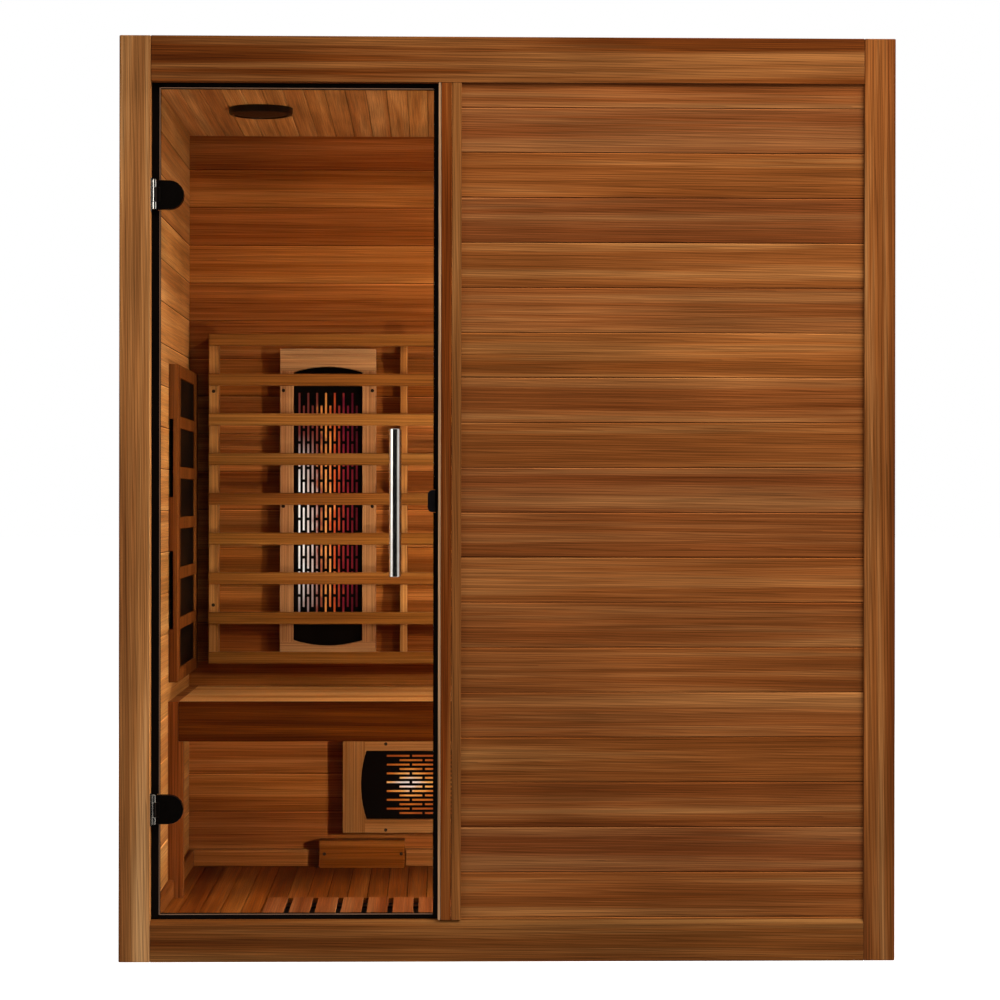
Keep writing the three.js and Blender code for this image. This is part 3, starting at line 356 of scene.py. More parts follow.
# partly painted shade: the side heaters' frames are darker than the other heater frames
SIDE_FRAME = ((72, 32, 8), (101, 53, 19), (126, 77, 37))
CALF_FRAME = ((128, 78, 38), (158, 106, 58), (182, 134, 86))
COVER = ((96, 44, 8), (124, 66, 18), (148, 90, 38))
BACK_SKIRTING = ((124, 68, 28), (152, 92, 44), (176, 120, 68))
SIDE_SKIRTING = ((96, 46, 14), (124, 68, 28), (148, 94, 48))
GRATE = ((112, 57, 27), (139, 80, 43), (160, 106, 66))
PLYWOOD = ((178, 146, 104), (196, 164, 122), (212, 184, 146))
wood = {
    "front_cladding": timber("cladding", X, *OUTER, boards=level_boards, variety=0.26, seed=3.0),
    "side_cladding": timber("side", Y, *OUTER, boards=level_boards, seed=40.0),
    "rear_cladding": timber("rear", X, *OUTER, boards=level_boards, seed=70.0),
    "left_stile": timber("left_stile", Z, *LEFT_STILE, seed=1.0, ring=STILE_RING),
    "right_stile": timber("right_stile", Z, *RIGHT_STILE, seed=2.4, ring=STILE_RING),
    "top_rail": timber("top_rail", X, *TOP_RAIL, seed=4.2),
    "bottom_rail": timber("bottom_rail", X, *BOTTOM_RAIL, seed=5.1),
    "jamb": timber("jamb", Z, *JAMB, seed=6.3),
    "jamb_trim": timber("jamb_trim", Z, *JAMB_TRIM, seed=7.7),
    "jamb_highlight": timber("jamb_highlight", Z, *JAMB_HIGHLIGHT, seed=7.1),
    "post": timber("post", Z, *OUTER, seed=8.8),
    "back_lining": timber(
        "back_lining", X, *BACK_WALL, boards=level_boards, variety=0.09, seed=101.0, figure=0.35
    ),
    "side_lining": timber(
        "side_lining", Y, *SIDE_WALL, boards=level_boards, variety=0.08, seed=131.0, figure=0.2
    ),
    "ceiling": timber(
        "ceiling", Y, *CEILING, boards=floor_strips, variety=0.08, seed=161.0, figure=0.2, lip=1.0
    ),
    "floor": timber("floor", Y, *FLOOR, boards=floor_strips, variety=0.2, seed=201.0, figure=0.35, lip=1.0),
    "seat": timber("seat", X, *SEAT, boards=(Y, SEAT_EDGE, BOARD), seed=231.0, figure=0.35),
    "fascia": timber("fascia", X, *FASCIA, seed=9.4, figure=0.4),
    "slat": timber(
        "slat", X, *SLAT, boards=(Z, SLAT_START, SLAT_PITCH), variety=0.16, seed=251.0, figure=0.25
    ),
    "upright": timber("upright", Z, *UPRIGHT, seed=10.6, figure=0.2),
    "support": timber("support", Z, *SUPPORT, seed=10.1, figure=0.3),
    "heater_frame": timber("heater_frame", Z, *HEATER_FRAME, seed=11.3, figure=0.15, turned=upright_window),
    "side_frame": timber("side_frame", Z, *SIDE_FRAME, seed=11.9, figure=0.25),
    "calf_frame": timber("calf_frame", X, *CALF_FRAME, seed=12.9, figure=0.15, turned=lying_window),
    "cover": timber("cover", X, *COVER, seed=12.2, figure=0.25),
    "back_skirting": timber("back_skirting", X, *BACK_SKIRTING, seed=14.4, figure=0.25),
    "side_skirting": timber("side_skirting", Y, *SIDE_SKIRTING, seed=14.8, figure=0.25),
    "grate": timber("grate", Y, *GRATE, seed=13.5, figure=0.3, shaded=(SLAT_UNDER, SLAT_OVER)),
    "roof": timber("roof", X, *OUTER, boards=(Y, 0.0, ROOF_BOARD), variety=0.1, seed=15.0),
    "plywood": cedar("plywood", X, shades(PLYWOOD), seed=16.0, figure=0.3),
}
print("cedar finishes:", len(wood))

# %% [markdown]
# ## Glass, metal, rubber and plastic
# The door is clear tempered glass. A thin flat pane hardly bends light, so it is a clear shader with a
# faint mirror over it, and lamps shine through it without a heavy shadow. The bar handles and hinge leaves
# are polished steel with faint wipe marks, the clamps are black chrome, and the rest is rubber, satin
# enamel and moulded plastic, each with its own fine texture in roughness and bump.

# %% Other finishes
CLEARNESS, SMEAR_SCALE, SMEAR_DETAIL, SMEAR_ROUGH = 0.975, 3.0, 2.0, 0.03
MIRROR_TONE, PANE_TONE = tone(235, 240, 238), tone(250, 252, 250)
FINE_DETAIL, DENT_DEPTH = 4.0, 0.0004
PATCH_SCALE, PATCH_DETAIL, PATCH_STOPS = 14.0, 2.0, ((0.35, 0.86), (0.65, 1.08))


def polish(name, colour, rough, metal, marks, scale=(1, 1, 1), grain=60.0, dent=0.05, specular=0.5):
    material, tree = blank(name)
    place = object_place(tree)
    fine = noise(tree, vectors(tree, "MULTIPLY", place, scale), grain, FINE_DETAIL)
    patches = ramp(tree, noise(tree, place, PATCH_SCALE, PATCH_DETAIL), *greys(PATCH_STOPS))
    bump = node(tree, "ShaderNodeBump", {"Strength": dent, "Distance": DENT_DEPTH, "Height": fine})
    surfaced(
        tree,
        {
            "Base Color": mixed(tree, "MULTIPLY", 1.0, colour, patches),
            "Roughness": sums(tree, "MULTIPLY_ADD", fine, marks, rough - marks / 2),
            "Metallic": metal,
            "Specular IOR Level": specular,
            "Normal": bump.outputs[0],
        },
    )
    return material


def clear_glass(name):
    material, tree = blank(name)
    smear = noise(tree, object_place(tree), SMEAR_SCALE, SMEAR_DETAIL)
    rough = sums(tree, "MULTIPLY", smear, SMEAR_ROUGH)
    shine = {"Base Color": MIRROR_TONE, "Roughness": rough, "Metallic": 1.0}
    mirror = node(tree, "ShaderNodeBsdfPrincipled", shine)
    through = node(tree, "ShaderNodeBsdfTransparent", {"Color": PANE_TONE})
    path = node(tree, "ShaderNodeLightPath")
    soft = sums(tree, "MAXIMUM", path.outputs["Is Shadow Ray"], path.outputs["Is Diffuse Ray"])
    clear = sums(tree, "MAXIMUM", soft, CLEARNESS)
    shader = node(tree, "ShaderNodeMixShader", {0: clear, 1: mirror.outputs[0], 2: through.outputs[0]})
    close(tree, shader.outputs[0])
    return material


steel = polish("polished_steel", tone(206, 200, 190), 0.2, 1.0, 0.1, (1, 1, 0.05), 240.0, 0.03)
black_chrome = polish("black_chrome", tone(46, 38, 32), 0.16, 0.9, 0.08, grain=120.0)
rubber = polish("seal_rubber", tone(12, 7, 5), 0.8, 0.0, 0.2, grain=400.0, dent=0.15, specular=0.06)
enamel = polish("black_enamel", tone(10, 7, 6), 0.5, 0.0, 0.14, grain=700.0, dent=0.08, specular=0.1)
black_plastic = polish(
    "black_plastic", tone(15, 12, 11), 0.38, 0.0, 0.14, grain=500.0, dent=0.1, specular=0.3
)
carbon = polish("carbon_sheet", tone(12, 9, 8), 0.5, 0.0, 0.12, grain=300.0, dent=0.1, specular=0.03)
grey_plastic = polish("grey_plastic", tone(190, 188, 184), 0.42, 0.0, 0.12, grain=600.0, dent=0.08)
grey_steel = polish("grey_steel", tone(140, 143, 146), 0.4, 0.6, 0.16, grain=200.0)
screw_steel = polish("screw_steel", tone(58, 48, 42), 0.32, 0.9, 0.12, grain=300.0)
# partly a painted glint: the edge's pale warm tone stands for frosting and for light caught on the edge
frosted_edge_glint = polish("frosted_edge_glint", tone(124, 90, 66), 0.5, 0.0, 0.2, grain=500.0)
glass = clear_glass("door_glass")
print("other finishes: 11")

# %% [markdown]
# ## Heat glow
# Behind each slotted grille, quartz tubes shine on a bent reflector. Across an upright heater, the colour
# runs from white at the left through orange to deep red, and towards the ends the white goes. The lying
# heater is whitest at one spot in each half. Lamps behind the slots could do this, but a glow on the tubes
# and the reflector is steadier, so the colour follows the place within the heater.

# %% Glow finish
HOT_SPOT, SPOT_FROM, SPOT_TO, SPOT_LOSS = 0.68, 0.02, 0.2, 0.32
LYING_SLOPE, LYING_START = 0.8, 0.14
WHITE_HEIGHT, WHITE_FROM, WHITE_TO = -0.18, 0.3, 0.72
FLICKER, FLICKER_SCALE, FLICKER_DETAIL = 0.34, 38.0, 3.0
FALL_FROM, FALL_LEVEL = 0.3, 0.55
GLOW_ROUGH, UNLIT_TONE = 0.4, tone(150, 120, 110)
LYING_ROW = ((20, 255, 238, 230), (40, 255, 178, 92), (62, 214, 116, 42), (100, 170, 78, 30))
NEAR_ROW = (
    (6, 252, 242, 236),
    (22, 220, 188, 176),
    (35, 140, 58, 46),
    (48, 250, 160, 86),
    (60, 214, 84, 40),
    (76, 140, 32, 40),
    (100, 84, 14, 22),
)
FAR_ROW = (
    (6, 118, 50, 44),
    (35, 128, 54, 42),
    (47, 250, 150, 70),
    (60, 206, 80, 34),
    (74, 128, 26, 44),
    (100, 70, 10, 20),
)


def heat_row(tree, heat, row):
    return ramp(tree, heat, *((percent / 100, tone(*colour)) for percent, *colour in row))


def heat_glow(name, across, centre, half, along, middle, reach, strength, lying):
    material, tree = blank(name)
    place = object_place(tree)
    parts = parted(tree, place)
    side = sums(tree, "DIVIDE", sums(tree, "SUBTRACT", parts[across], centre), half)
    length = sums(tree, "DIVIDE", sums(tree, "SUBTRACT", parts[along], middle), reach)
    run = sums(tree, "ABSOLUTE", length)
    flicker = noise(tree, place, FLICKER_SCALE, FLICKER_DETAIL)
    waver = sums(tree, "MULTIPLY_ADD", flicker, FLICKER, -FLICKER / 2)
    if lying:
        spot = sums(tree, "ABSOLUTE", sums(tree, "SUBTRACT", run, HOT_SPOT))
        away = spans(tree, spot, SPOT_FROM, SPOT_TO, 0.0, SPOT_LOSS)
        slope = sums(tree, "MULTIPLY_ADD", sums(tree, "ABSOLUTE", side), LYING_SLOPE, LYING_START)
        colour = heat_row(tree, sums(tree, "ADD", sums(tree, "ADD", slope, away), waver), LYING_ROW)
    else:
        heat = sums(tree, "ADD", sums(tree, "MULTIPLY_ADD", side, 0.5, 0.5), waver)
        off_white = sums(tree, "ABSOLUTE", sums(tree, "SUBTRACT", length, WHITE_HEIGHT))
        ends = spans(tree, off_white, WHITE_FROM, WHITE_TO)
        colour = mixed(tree, "MIX", ends, heat_row(tree, heat, NEAR_ROW), heat_row(tree, heat, FAR_ROW))
    fall = spans(tree, run, FALL_FROM, 1.0, 1.0, FALL_LEVEL)
    surfaced(
        tree,
        {
            "Base Color": mixed(tree, "MULTIPLY", 1.0, colour, UNLIT_TONE),
            "Roughness": GLOW_ROUGH,
            "Emission Color": colour,
            "Emission Strength": sums(tree, "MULTIPLY", fall, strength),
        },
    )
    return material


print("glow finish ready")

# %% [markdown]
# ## Helpers for pieces
# Real timber has eased edges that catch a line of light. A CAD solid has sharp ones, so each board is made
# again: a copy of its solid is merged, its flat triangles are dissolved, and its outer corners are bevelled
# by a small amount. Round bars are cylinders with an eased rim. Every piece then rides on its CAD body.

# %% Piece helpers
CREASE, CORNER, RIM_CORNER, FLAT_ANGLE = 35, 40, 60, 0.5
MERGE_REACH = 1e-5


def finished(name, mesh, finish, body, slot, *stands_for):
    data = bpy.data.meshes.new(name)
    mesh.to_mesh(data)
    mesh.free()
    data.materials.append(finish)
    data.shade_smooth()
    data.set_sharp_from_angle(angle=math.radians(CREASE))
    piece = bpy.data.objects.new(name, data)
    scene.collection.objects.link(piece)
    even = piece.modifiers.new("even_faces", "WEIGHTED_NORMAL")
    even.keep_sharp = True
    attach(piece, body)
    if stands_for:
        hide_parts(*stands_for)
    return piece


def ease(mesh, edges, width, segments=2):
    bmesh.ops.bevel(
        mesh,
        geom=edges,
        offset=width,
        offset_type="OFFSET",
        affect="EDGES",
        segments=segments,
        profile=0.5,
        clamp_overlap=True,
        material=-1,
    )


def edges_of(verts):
    return list(dict.fromkeys(edge for vert in verts for edge in vert.link_edges))


def outer_corners(mesh, angle=CORNER):
    limit = math.radians(angle)
    return [e for e in mesh.edges if e.is_manifold and e.calc_face_angle_signed(0) > limit]


def softened(cad_node, width, finish, slot, body="cabin", angle=CORNER):
    mesh = bmesh.new()
    mesh.from_mesh(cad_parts[cad_node].data)
    bmesh.ops.remove_doubles(mesh, verts=mesh.verts, dist=MERGE_REACH)
    flat = math.radians(FLAT_ANGLE)
    bmesh.ops.dissolve_limit(mesh, angle_limit=flat, verts=mesh.verts, edges=mesh.edges)
    ease(mesh, outer_corners(mesh, angle), width)
    return finished(cad_node + "_piece", mesh, finish, body, slot, cad_node)


def beam(mesh, low, high):
    made = bmesh.ops.create_cube(mesh, size=1)["verts"]
    middle = (Vector(low) + Vector(high)) / 2
    bmesh.ops.scale(mesh, vec=Vector(high) - Vector(low), verts=made)
    bmesh.ops.translate(mesh, vec=middle, verts=made)
    return made


def rod(mesh, start, end, radius, sides=48, rim=0.0):
    start, end = Vector(start), Vector(end)
    made = bmesh.ops.create_cone(
        mesh, cap_ends=True, segments=sides, radius1=radius, radius2=radius, depth=(end - start).length
    )["verts"]
    turn = (end - start).to_track_quat("Z", "Y").to_matrix()
    bmesh.ops.rotate(mesh, cent=(0, 0, 0), matrix=turn, verts=made)
    bmesh.ops.translate(mesh, vec=(start + end) / 2, verts=made)
    if rim:
        sharp = math.radians(RIM_CORNER)
        ease(mesh, [e for e in edges_of(made) if e.calc_face_angle(0) > sharp], rim, 3)


def paint(finish, *cad_nodes):
    for name in cad_nodes:
        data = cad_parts[name].data
        data.materials.clear()
        data.materials.append(finish)


print("piece helpers ready")

# %% [markdown]
# ## Outer frame and boards
# Two stiles run the full height, two rails lie between them, and a narrow post stands beside the doorway.
# The post shows a painted highlight along its edge, a strip in a light tone, and with a trim strip it is
# built from three beams. The boards have V joints in the solid already, so they keep their solid and only
# get the cedar.

# %% Outer frame
TIMBER_EASE, RAIL_EASE, SILL_EASE, SILL_CORNER = 0.0022, 0.0018, 0.0012, 30
POST_JOINT, POST_EDGE, POST_EASE = -0.1170, 0.0056, 0.0014
EDGE_GAP, HALF_JOINT = 0.0002, 0.0004
softened("front_left_stile", TIMBER_EASE, wood["left_stile"], "cedar_outer")
softened("front_right_stile", TIMBER_EASE, wood["right_stile"], "cedar_outer")
softened("front_top_rail", RAIL_EASE, wood["top_rail"], "cedar_outer")
softened("front_bottom_rail", SILL_EASE, wood["bottom_rail"], "cedar_outer", angle=SILL_CORNER)
softened("rear_left_post", TIMBER_EASE, wood["post"], "cedar_outer")
softened("rear_right_post", TIMBER_EASE, wood["post"], "cedar_outer")
paint(wood["front_cladding"], "front_cladding")
paint(wood["side_cladding"], "left_cladding", "right_cladding")
paint(wood["rear_cladding"], "rear_cladding")
paint(wood["roof"], "roof_panel")
paint(wood["plywood"], "base_platform")

low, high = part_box("front_mullion")
edge_end = low[0] + POST_EDGE
# the first beam is a painted highlight, a light strip along the post's edge
for name, left, right, finish, stands_for in (
    ("doorway_post_highlight", low[0], edge_end, "jamb_highlight", []),
    ("doorway_post", edge_end + EDGE_GAP, POST_JOINT - HALF_JOINT, "jamb", ["front_mullion"]),
    ("doorway_post_trim", POST_JOINT + HALF_JOINT, high[0], "jamb_trim", []),
):
    mesh = bmesh.new()
    beam(mesh, (left, low[1], low[2]), (right, high[1], high[2]))
    ease(mesh, mesh.edges[:], POST_EASE)
    finished(name, mesh, wood[finish], "cabin", "cedar_outer", *stands_for)
print("outer frame: 9 eased timbers")

# %% [markdown]
# ## Inside boards
# The walls, floor and ceiling are lined with the same cedar. Wall boards run level, floor and ceiling
# strips run from front to back. A thin skirting covers the gap between wall and floor. It is too slight for
# the solids, so it is added here as a strip with rounded edges.

# %% Inside boards and skirting
paint(wood["back_lining"], "front_lining", "rear_lining")
paint(wood["side_lining"], "left_lining", "right_lining")
paint(wood["ceiling"], "ceiling_lining")
paint(wood["floor"], "floor_deck")
paint(wood["seat"], "bench_seat")

SKIRT_THICK, SKIRT_TALL, SKIRT_EASE, HAIR = 0.014, 0.042, 0.004, 0.0004
SUPPORT_DEPTH = 0.034
floor_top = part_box("floor_deck")[1][2]
room_low = [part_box("left_lining")[1][0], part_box("front_lining")[1][1]]
room_high = [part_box("right_lining")[0][0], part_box("rear_lining")[0][1]]
cover_low, cover_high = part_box("cable_cover")
support_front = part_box("bench_left_support")[0][1]
back_y = (room_high[1] - SKIRT_THICK, room_high[1] - HAIR)


def skirting(name, runs, grain):
    mesh = bmesh.new()
    for x0, x1, y0, y1 in runs:
        beam(mesh, (x0, y0, floor_top + HAIR), (x1, y1, floor_top + SKIRT_TALL))
    ease(mesh, outer_corners(mesh), SKIRT_EASE, 3)
    finished(name, mesh, wood[grain], "cabin", "cedar_lining")


runs = [
    (room_low[0] + HAIR, cover_low[0] - HAIR, *back_y),
    (cover_high[0] + HAIR, room_high[0] - HAIR, *back_y),
]
skirting("back_skirting", runs, "back_skirting")
for side, x0, x1 in (
    ("left", room_low[0] + HAIR, room_low[0] + SKIRT_THICK),
    ("right", room_high[0] - SKIRT_THICK, room_high[0] - HAIR),
):
    runs = [
        (x0, x1, room_low[1] + HAIR, support_front - HAIR),
        (x0, x1, support_front + SUPPORT_DEPTH + HAIR, back_y[0] - HAIR),
    ]
    skirting(side + "_skirting", runs, "side_skirting")
print("skirting: 3 strips, top at", round(floor_top + SKIRT_TALL, 4))

# %% [markdown]
# ## Bench and backrest
# The bench is a boarded seat behind a deep fascia, on end supports. The backrest is nine thin slats on
# uprights. One solid stands for the backrest, but its slats run level and its uprights stand, so the grain
# turns between them. They are built here as separate eased beams.

# %% Bench and backrest
FASCIA_EASE, SUPPORT_EASE, SLAT_EASE, UPRIGHT_EASE = 0.0012, 0.0020, 0.0030, 0.0022
softened("bench_fascia", FASCIA_EASE, wood["fascia"], "cedar_bench")
softened("bench_left_support", SUPPORT_EASE, wood["support"], "cedar_bench")
softened("bench_right_support", SUPPORT_EASE, wood["support"], "cedar_bench")

SLATS, SLAT_TALL, SLAT_THICK = 9, 0.0292, 0.020
UPRIGHTS = ((-0.6905, 0.023), (-0.2268, 0.0174), (0.2268, 0.0174), (0.6905, 0.023))
low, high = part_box("backrest")
mesh = bmesh.new()
for count in range(SLATS):
    bottom = low[2] + count * SLAT_PITCH
    beam(mesh, (low[0], low[1], bottom), (high[0], low[1] + SLAT_THICK, bottom + SLAT_TALL))
ease(mesh, mesh.edges[:], SLAT_EASE, 3)
finished("backrest_slats", mesh, wood["slat"], "cabin", "cedar_bench", "backrest")
mesh = bmesh.new()
for middle, wide in UPRIGHTS:
    left, right = middle - wide / 2, middle + wide / 2
    beam(mesh, (left, low[1] + SLAT_THICK + HAIR, low[2]), (right, high[1], high[2]))
ease(mesh, mesh.edges[:], UPRIGHT_EASE)
finished("backrest_uprights", mesh, wood["upright"], "cabin", "cedar_bench")
print("backrest:", SLATS, "slats on", len(UPRIGHTS), "uprights")

# %% [markdown]
# ## Heaters
# Three glowing heaters have a timber frame, a slotted black grille and tubes in front of a reflector. The
# flat heaters on the side walls show black panes in a ladder frame. The floor heater hides under a slatted
# grate. The grilles keep their solids. The tubes are made again with a reflector, because the glow needs a
# surface behind every slot.

# %% Heaters
GLOW, GLOW_SPREAD = 0.95, 1.25
FRAME_EASE, LADDER_EASE, COVER_EASE, GRATE_EASE = 0.0016, 0.0014, 0.0018, 0.0016
TUBE_OFFSET, TUBE_FROM_WALL, TUBE_END_GAP = 0.035, 0.013, 0.004
TUBE_RADIUS, TUBE_SIDES, TUBE_RIM = 0.006, 24, 0.001
HOLDER_LENGTH, HOLDER_EASE = 0.018, 0.0012
REFLECTOR_WIDER, REFLECTOR_LONGER, REFLECTOR_THICK = 1.38, 1.02, 0.003


def glowing_tubes(name, across, along):
    low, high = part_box(name + "_element")
    centre, half = (low[across] + high[across]) / 2, (high[across] - low[across]) / 2
    middle, reach = (low[along] + high[along]) / 2, (high[along] - low[along]) / 2

    def at(side, run, depth):
        place = [0, 0, 0]
        place[across], place[along], place[Y] = side, run, depth
        return place

    mesh = bmesh.new()
    for side in (centre - TUBE_OFFSET, centre + TUBE_OFFSET):
        run, depth = reach - TUBE_END_GAP, high[Y] - TUBE_FROM_WALL
        start, end = at(side, middle - run, depth), at(side, middle + run, depth)
        rod(mesh, start, end, TUBE_RADIUS, TUBE_SIDES, TUBE_RIM)
    for sign in (-1, 1):
        first, last = sorted((middle + sign * reach, middle + sign * (reach - HOLDER_LENGTH)))
        holder = beam(mesh, at(centre - half, first, low[Y]), at(centre + half, last, high[Y]))
        ease(mesh, edges_of(holder), HOLDER_EASE)
    wide, tall = half * REFLECTOR_WIDER, reach * REFLECTOR_LONGER
    front = at(centre - wide, middle - tall, high[Y] - REFLECTOR_THICK)
    beam(mesh, front, at(centre + wide, middle + tall, high[Y] - HAIR))
    spread, lying = half * GLOW_SPREAD, along == X
    glow = heat_glow(name + "_glow", across, centre, spread, along, middle, reach, GLOW, lying)
    finished(name + "_tubes", mesh, glow, "cabin", "quartz_glow", name + "_element")


for name, across, along, frame_wood in (
    ("back_left_heater", X, Z, "heater_frame"),
    ("back_right_heater", X, Z, "heater_frame"),
    ("calf_heater", Z, X, "calf_frame"),
):
    softened(name + "_frame", FRAME_EASE, wood[frame_wood], "cedar_heater_frame")
    paint(enamel, name + "_grille")
    glowing_tubes(name, across, along)
for side in ("left", "right"):
    softened(side + "_heater_frame", LADDER_EASE, wood["side_frame"], "cedar_heater_frame")
    paint(carbon, side + "_heater_panel")
softened("cable_cover", COVER_EASE, wood["cover"], "cedar_heater_frame")
softened("floor_heater_grate", GRATE_EASE, wood["grate"], "cedar_grate")
paint(carbon, "floor_heater_panel")
print("heaters: 3 glowing, 2 flat, 1 in the floor")

# %% [markdown]
# ## Glass door
# The door is one pane with ground edges, held by two black clamps on steel hinge leaves. The ground edge
# could be left to the glass, but it scatters light and shows as a thin pale line, so it is a strip of its
# own in a pale warm tone, partly the frosted edge and partly a painted glint. The knuckles of the clamps,
# left of the pin, are bare steel.

# %% Glass door
GLASS_EASE, CLAMP_EASE, LEAF_EASE, PIN_EASE = 0.0008, 0.0009, 0.0005, 0.0004
STRIKE_EASE, MAGNET_EASE = 0.0008, 0.0010
RIM, RIM_PROUD = 0.0018, 0.0003
softened("door_glass", GLASS_EASE, glass, "door_glass", "door")
glass_low, glass_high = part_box("door_glass")
clamps = [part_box(place + "_hinge_clamp") for place in ("lower", "upper")]
heights = [glass_low[2], *(end[2] for clamp in clamps for end in clamp), glass_high[2]]
left_runs = zip(heights[::2], heights[1::2])
runs = [(glass_low[0], glass_low[0] + RIM, z0 + HAIR, z1 - HAIR) for z0, z1 in left_runs]
for z0, z1 in ((glass_low[2], glass_low[2] + RIM), (glass_high[2] - RIM, glass_high[2])):
    runs.append((glass_low[0] + RIM + HAIR, glass_high[0] - RIM - HAIR, z0, z1))
mesh = bmesh.new()
for x0, x1, z0, z1 in runs:
    beam(mesh, (x0, glass_low[1] - RIM_PROUD, z0), (x1, glass_low[1], z1))
# a strip along the pane's edges, its pale tone partly frosting and partly a painted glint
finished("glass_frosted_edge_glint", mesh, frosted_edge_glint, "door", "door_glass")
paint(rubber, "door_seal")
for place in ("upper", "lower"):
    clamp = softened(place + "_hinge_clamp", CLAMP_EASE, black_chrome, "black_chrome", "door").data
    clamp.materials.append(steel)
    pin_low, pin_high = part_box(place + "_hinge_pin")
    for side in clamp.polygons:
        side.material_index = int(side.center.x < (pin_low[0] + pin_high[0]) / 2)
    softened(place + "_hinge_leaf", LEAF_EASE, steel, "polished_steel")
    softened(place + "_hinge_pin", PIN_EASE, steel, "polished_steel")
softened("latch_strike", STRIKE_EASE, black_plastic, "black_plastic", "door")
softened("latch_magnet", MAGNET_EASE, black_plastic, "black_plastic")
print("door: pane, two clamps, latch")

# %% [markdown]
# ## Handles
# A steel bar stands off each face of the pane on two posts with collars, and studs through the glass join
# them. The solids are faceted, so the bars are made again from many sides, and their highlights run
# straight and clean.

# %% Handles
POST_SPACING, BAR_RADIUS, POST_RADIUS, STUD_RADIUS = 0.200, 0.01225, 0.008, 0.005
BAR_SIDES, POST_SIDES, STUD_SIDES = 64, 40, 24
BAR_RIM, POST_RIM, POST_GAP = 0.0012, 0.0006, 0.0003
COLLAR_WIDER, COLLAR_TALL = 1.3, 0.0040
for name, face, outward in (("outer_handle", glass_low[1], -1), ("inner_handle", glass_high[1], 1)):
    low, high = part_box(name)
    x = (low[0] + high[0]) / 2
    bar_y = low[1] + BAR_RADIUS if outward < 0 else high[1] - BAR_RADIUS
    foot, collar = face + outward * POST_GAP, face + outward * COLLAR_TALL
    mesh = bmesh.new()
    rod(mesh, (x, bar_y, low[2]), (x, bar_y, high[2]), BAR_RADIUS, BAR_SIDES, BAR_RIM)
    for height in (-0.5, 0.5):
        z = (low[2] + high[2]) / 2 + height * POST_SPACING
        rod(mesh, (x, foot, z), (x, bar_y, z), POST_RADIUS, POST_SIDES, POST_RIM)
        rod(mesh, (x, foot, z), (x, collar, z), POST_RADIUS * COLLAR_WIDER, POST_SIDES, POST_RIM)
        if outward < 0:
            rod(mesh, (x, face, z), (x, high[1], z), STUD_RADIUS, STUD_SIDES)
    finished(name + "_bar", mesh, steel, "door", "polished_steel", name)
print("handles: 2 bars")

# %% [markdown]
# ## Ceiling fittings
# A round speaker shows in the ceiling as a black dish with a fine mesh, and the lamp is a frosted lens in a
# ring. Both are turned shapes, so their profiles are spun. The mesh and the frosting are far too fine to
# model, so cells in the finish draw them.

# %% Ceiling fittings
DOT_SCALE, DOT_STOPS, DOT_BUMP, DOT_DEPTH = 260.0, (0.25, 0.42), 0.5, 0.0006
DOT_TONES, DOT_ROUGH, DOT_GLOSS = (tone(4, 3, 3), tone(20, 15, 13)), 0.45, 0.3
FROST_SCALE, FROST_SPREAD, FROST_STOPS = 140.0, 0.2, (0.1, 0.6)
FROST_TONES, FROST_ROUGH, LENS_LIGHT = (tone(255, 232, 196), tone(248, 214, 168)), 0.5, 2.0
BEZEL_ROUND, BEZEL_BEND, RECESS, RECESS_SLOPE = 0.006, 0.002, 0.003, 0.002
BOWL_GAP, BOWL_SHOULDER = 0.003, 0.8
BOWL_BACK, BOWL_RISE, BOWL_FRONT = 0.0027, 0.0012, 0.0003
SPEAKER_RING, LAMP_RING = 0.011, 0.008
SPIN_STEPS, SPIN_MERGE = 64, 1e-6


def cells(tree, scale, spread):
    inputs = {"Vector": object_place(tree), "Scale": scale, "Randomness": spread}
    return node(tree, "ShaderNodeTexVoronoi", inputs).outputs["Distance"]


def speaker_mesh_finish():
    material, tree = blank("speaker_mesh")
    dots = cells(tree, DOT_SCALE, 0.0)
    colour = ramp(tree, dots, *zip(DOT_STOPS, DOT_TONES))
    bump = node(tree, "ShaderNodeBump", {"Strength": DOT_BUMP, "Distance": DOT_DEPTH, "Height": dots})
    surfaced(
        tree,
        {
            "Base Color": colour,
            "Roughness": DOT_ROUGH,
            "Specular IOR Level": DOT_GLOSS,
            "Normal": bump.outputs[0],
        },
    )
    return material


def lens_finish():
    material, tree = blank("lamp_lens")
    colour = ramp(tree, cells(tree, FROST_SCALE, FROST_SPREAD), *zip(FROST_STOPS, FROST_TONES))
    surfaced(
        tree,
        {
            "Base Color": colour,
            "Roughness": FROST_ROUGH,
            "Emission Color": colour,
            "Emission Strength": LENS_LIGHT,
        },
    )
    return material


def spun(mesh, profile, middle):
    line = [mesh.verts.new((middle[0] + radius, middle[1], height)) for radius, height in profile]
    edges = [mesh.edges.new(pair) for pair in zip(line, line[1:])]
    bmesh.ops.spin(
        mesh,
        geom=line + edges,
        cent=(middle[0], middle[1], 0),
        axis=(0, 0, 1),
        angle=2 * math.pi,
        steps=SPIN_STEPS,
        use_merge=True,
    )
    bmesh.ops.remove_doubles(mesh, verts=mesh.verts, dist=SPIN_MERGE)
    bmesh.ops.recalc_face_normals(mesh, faces=mesh.faces)


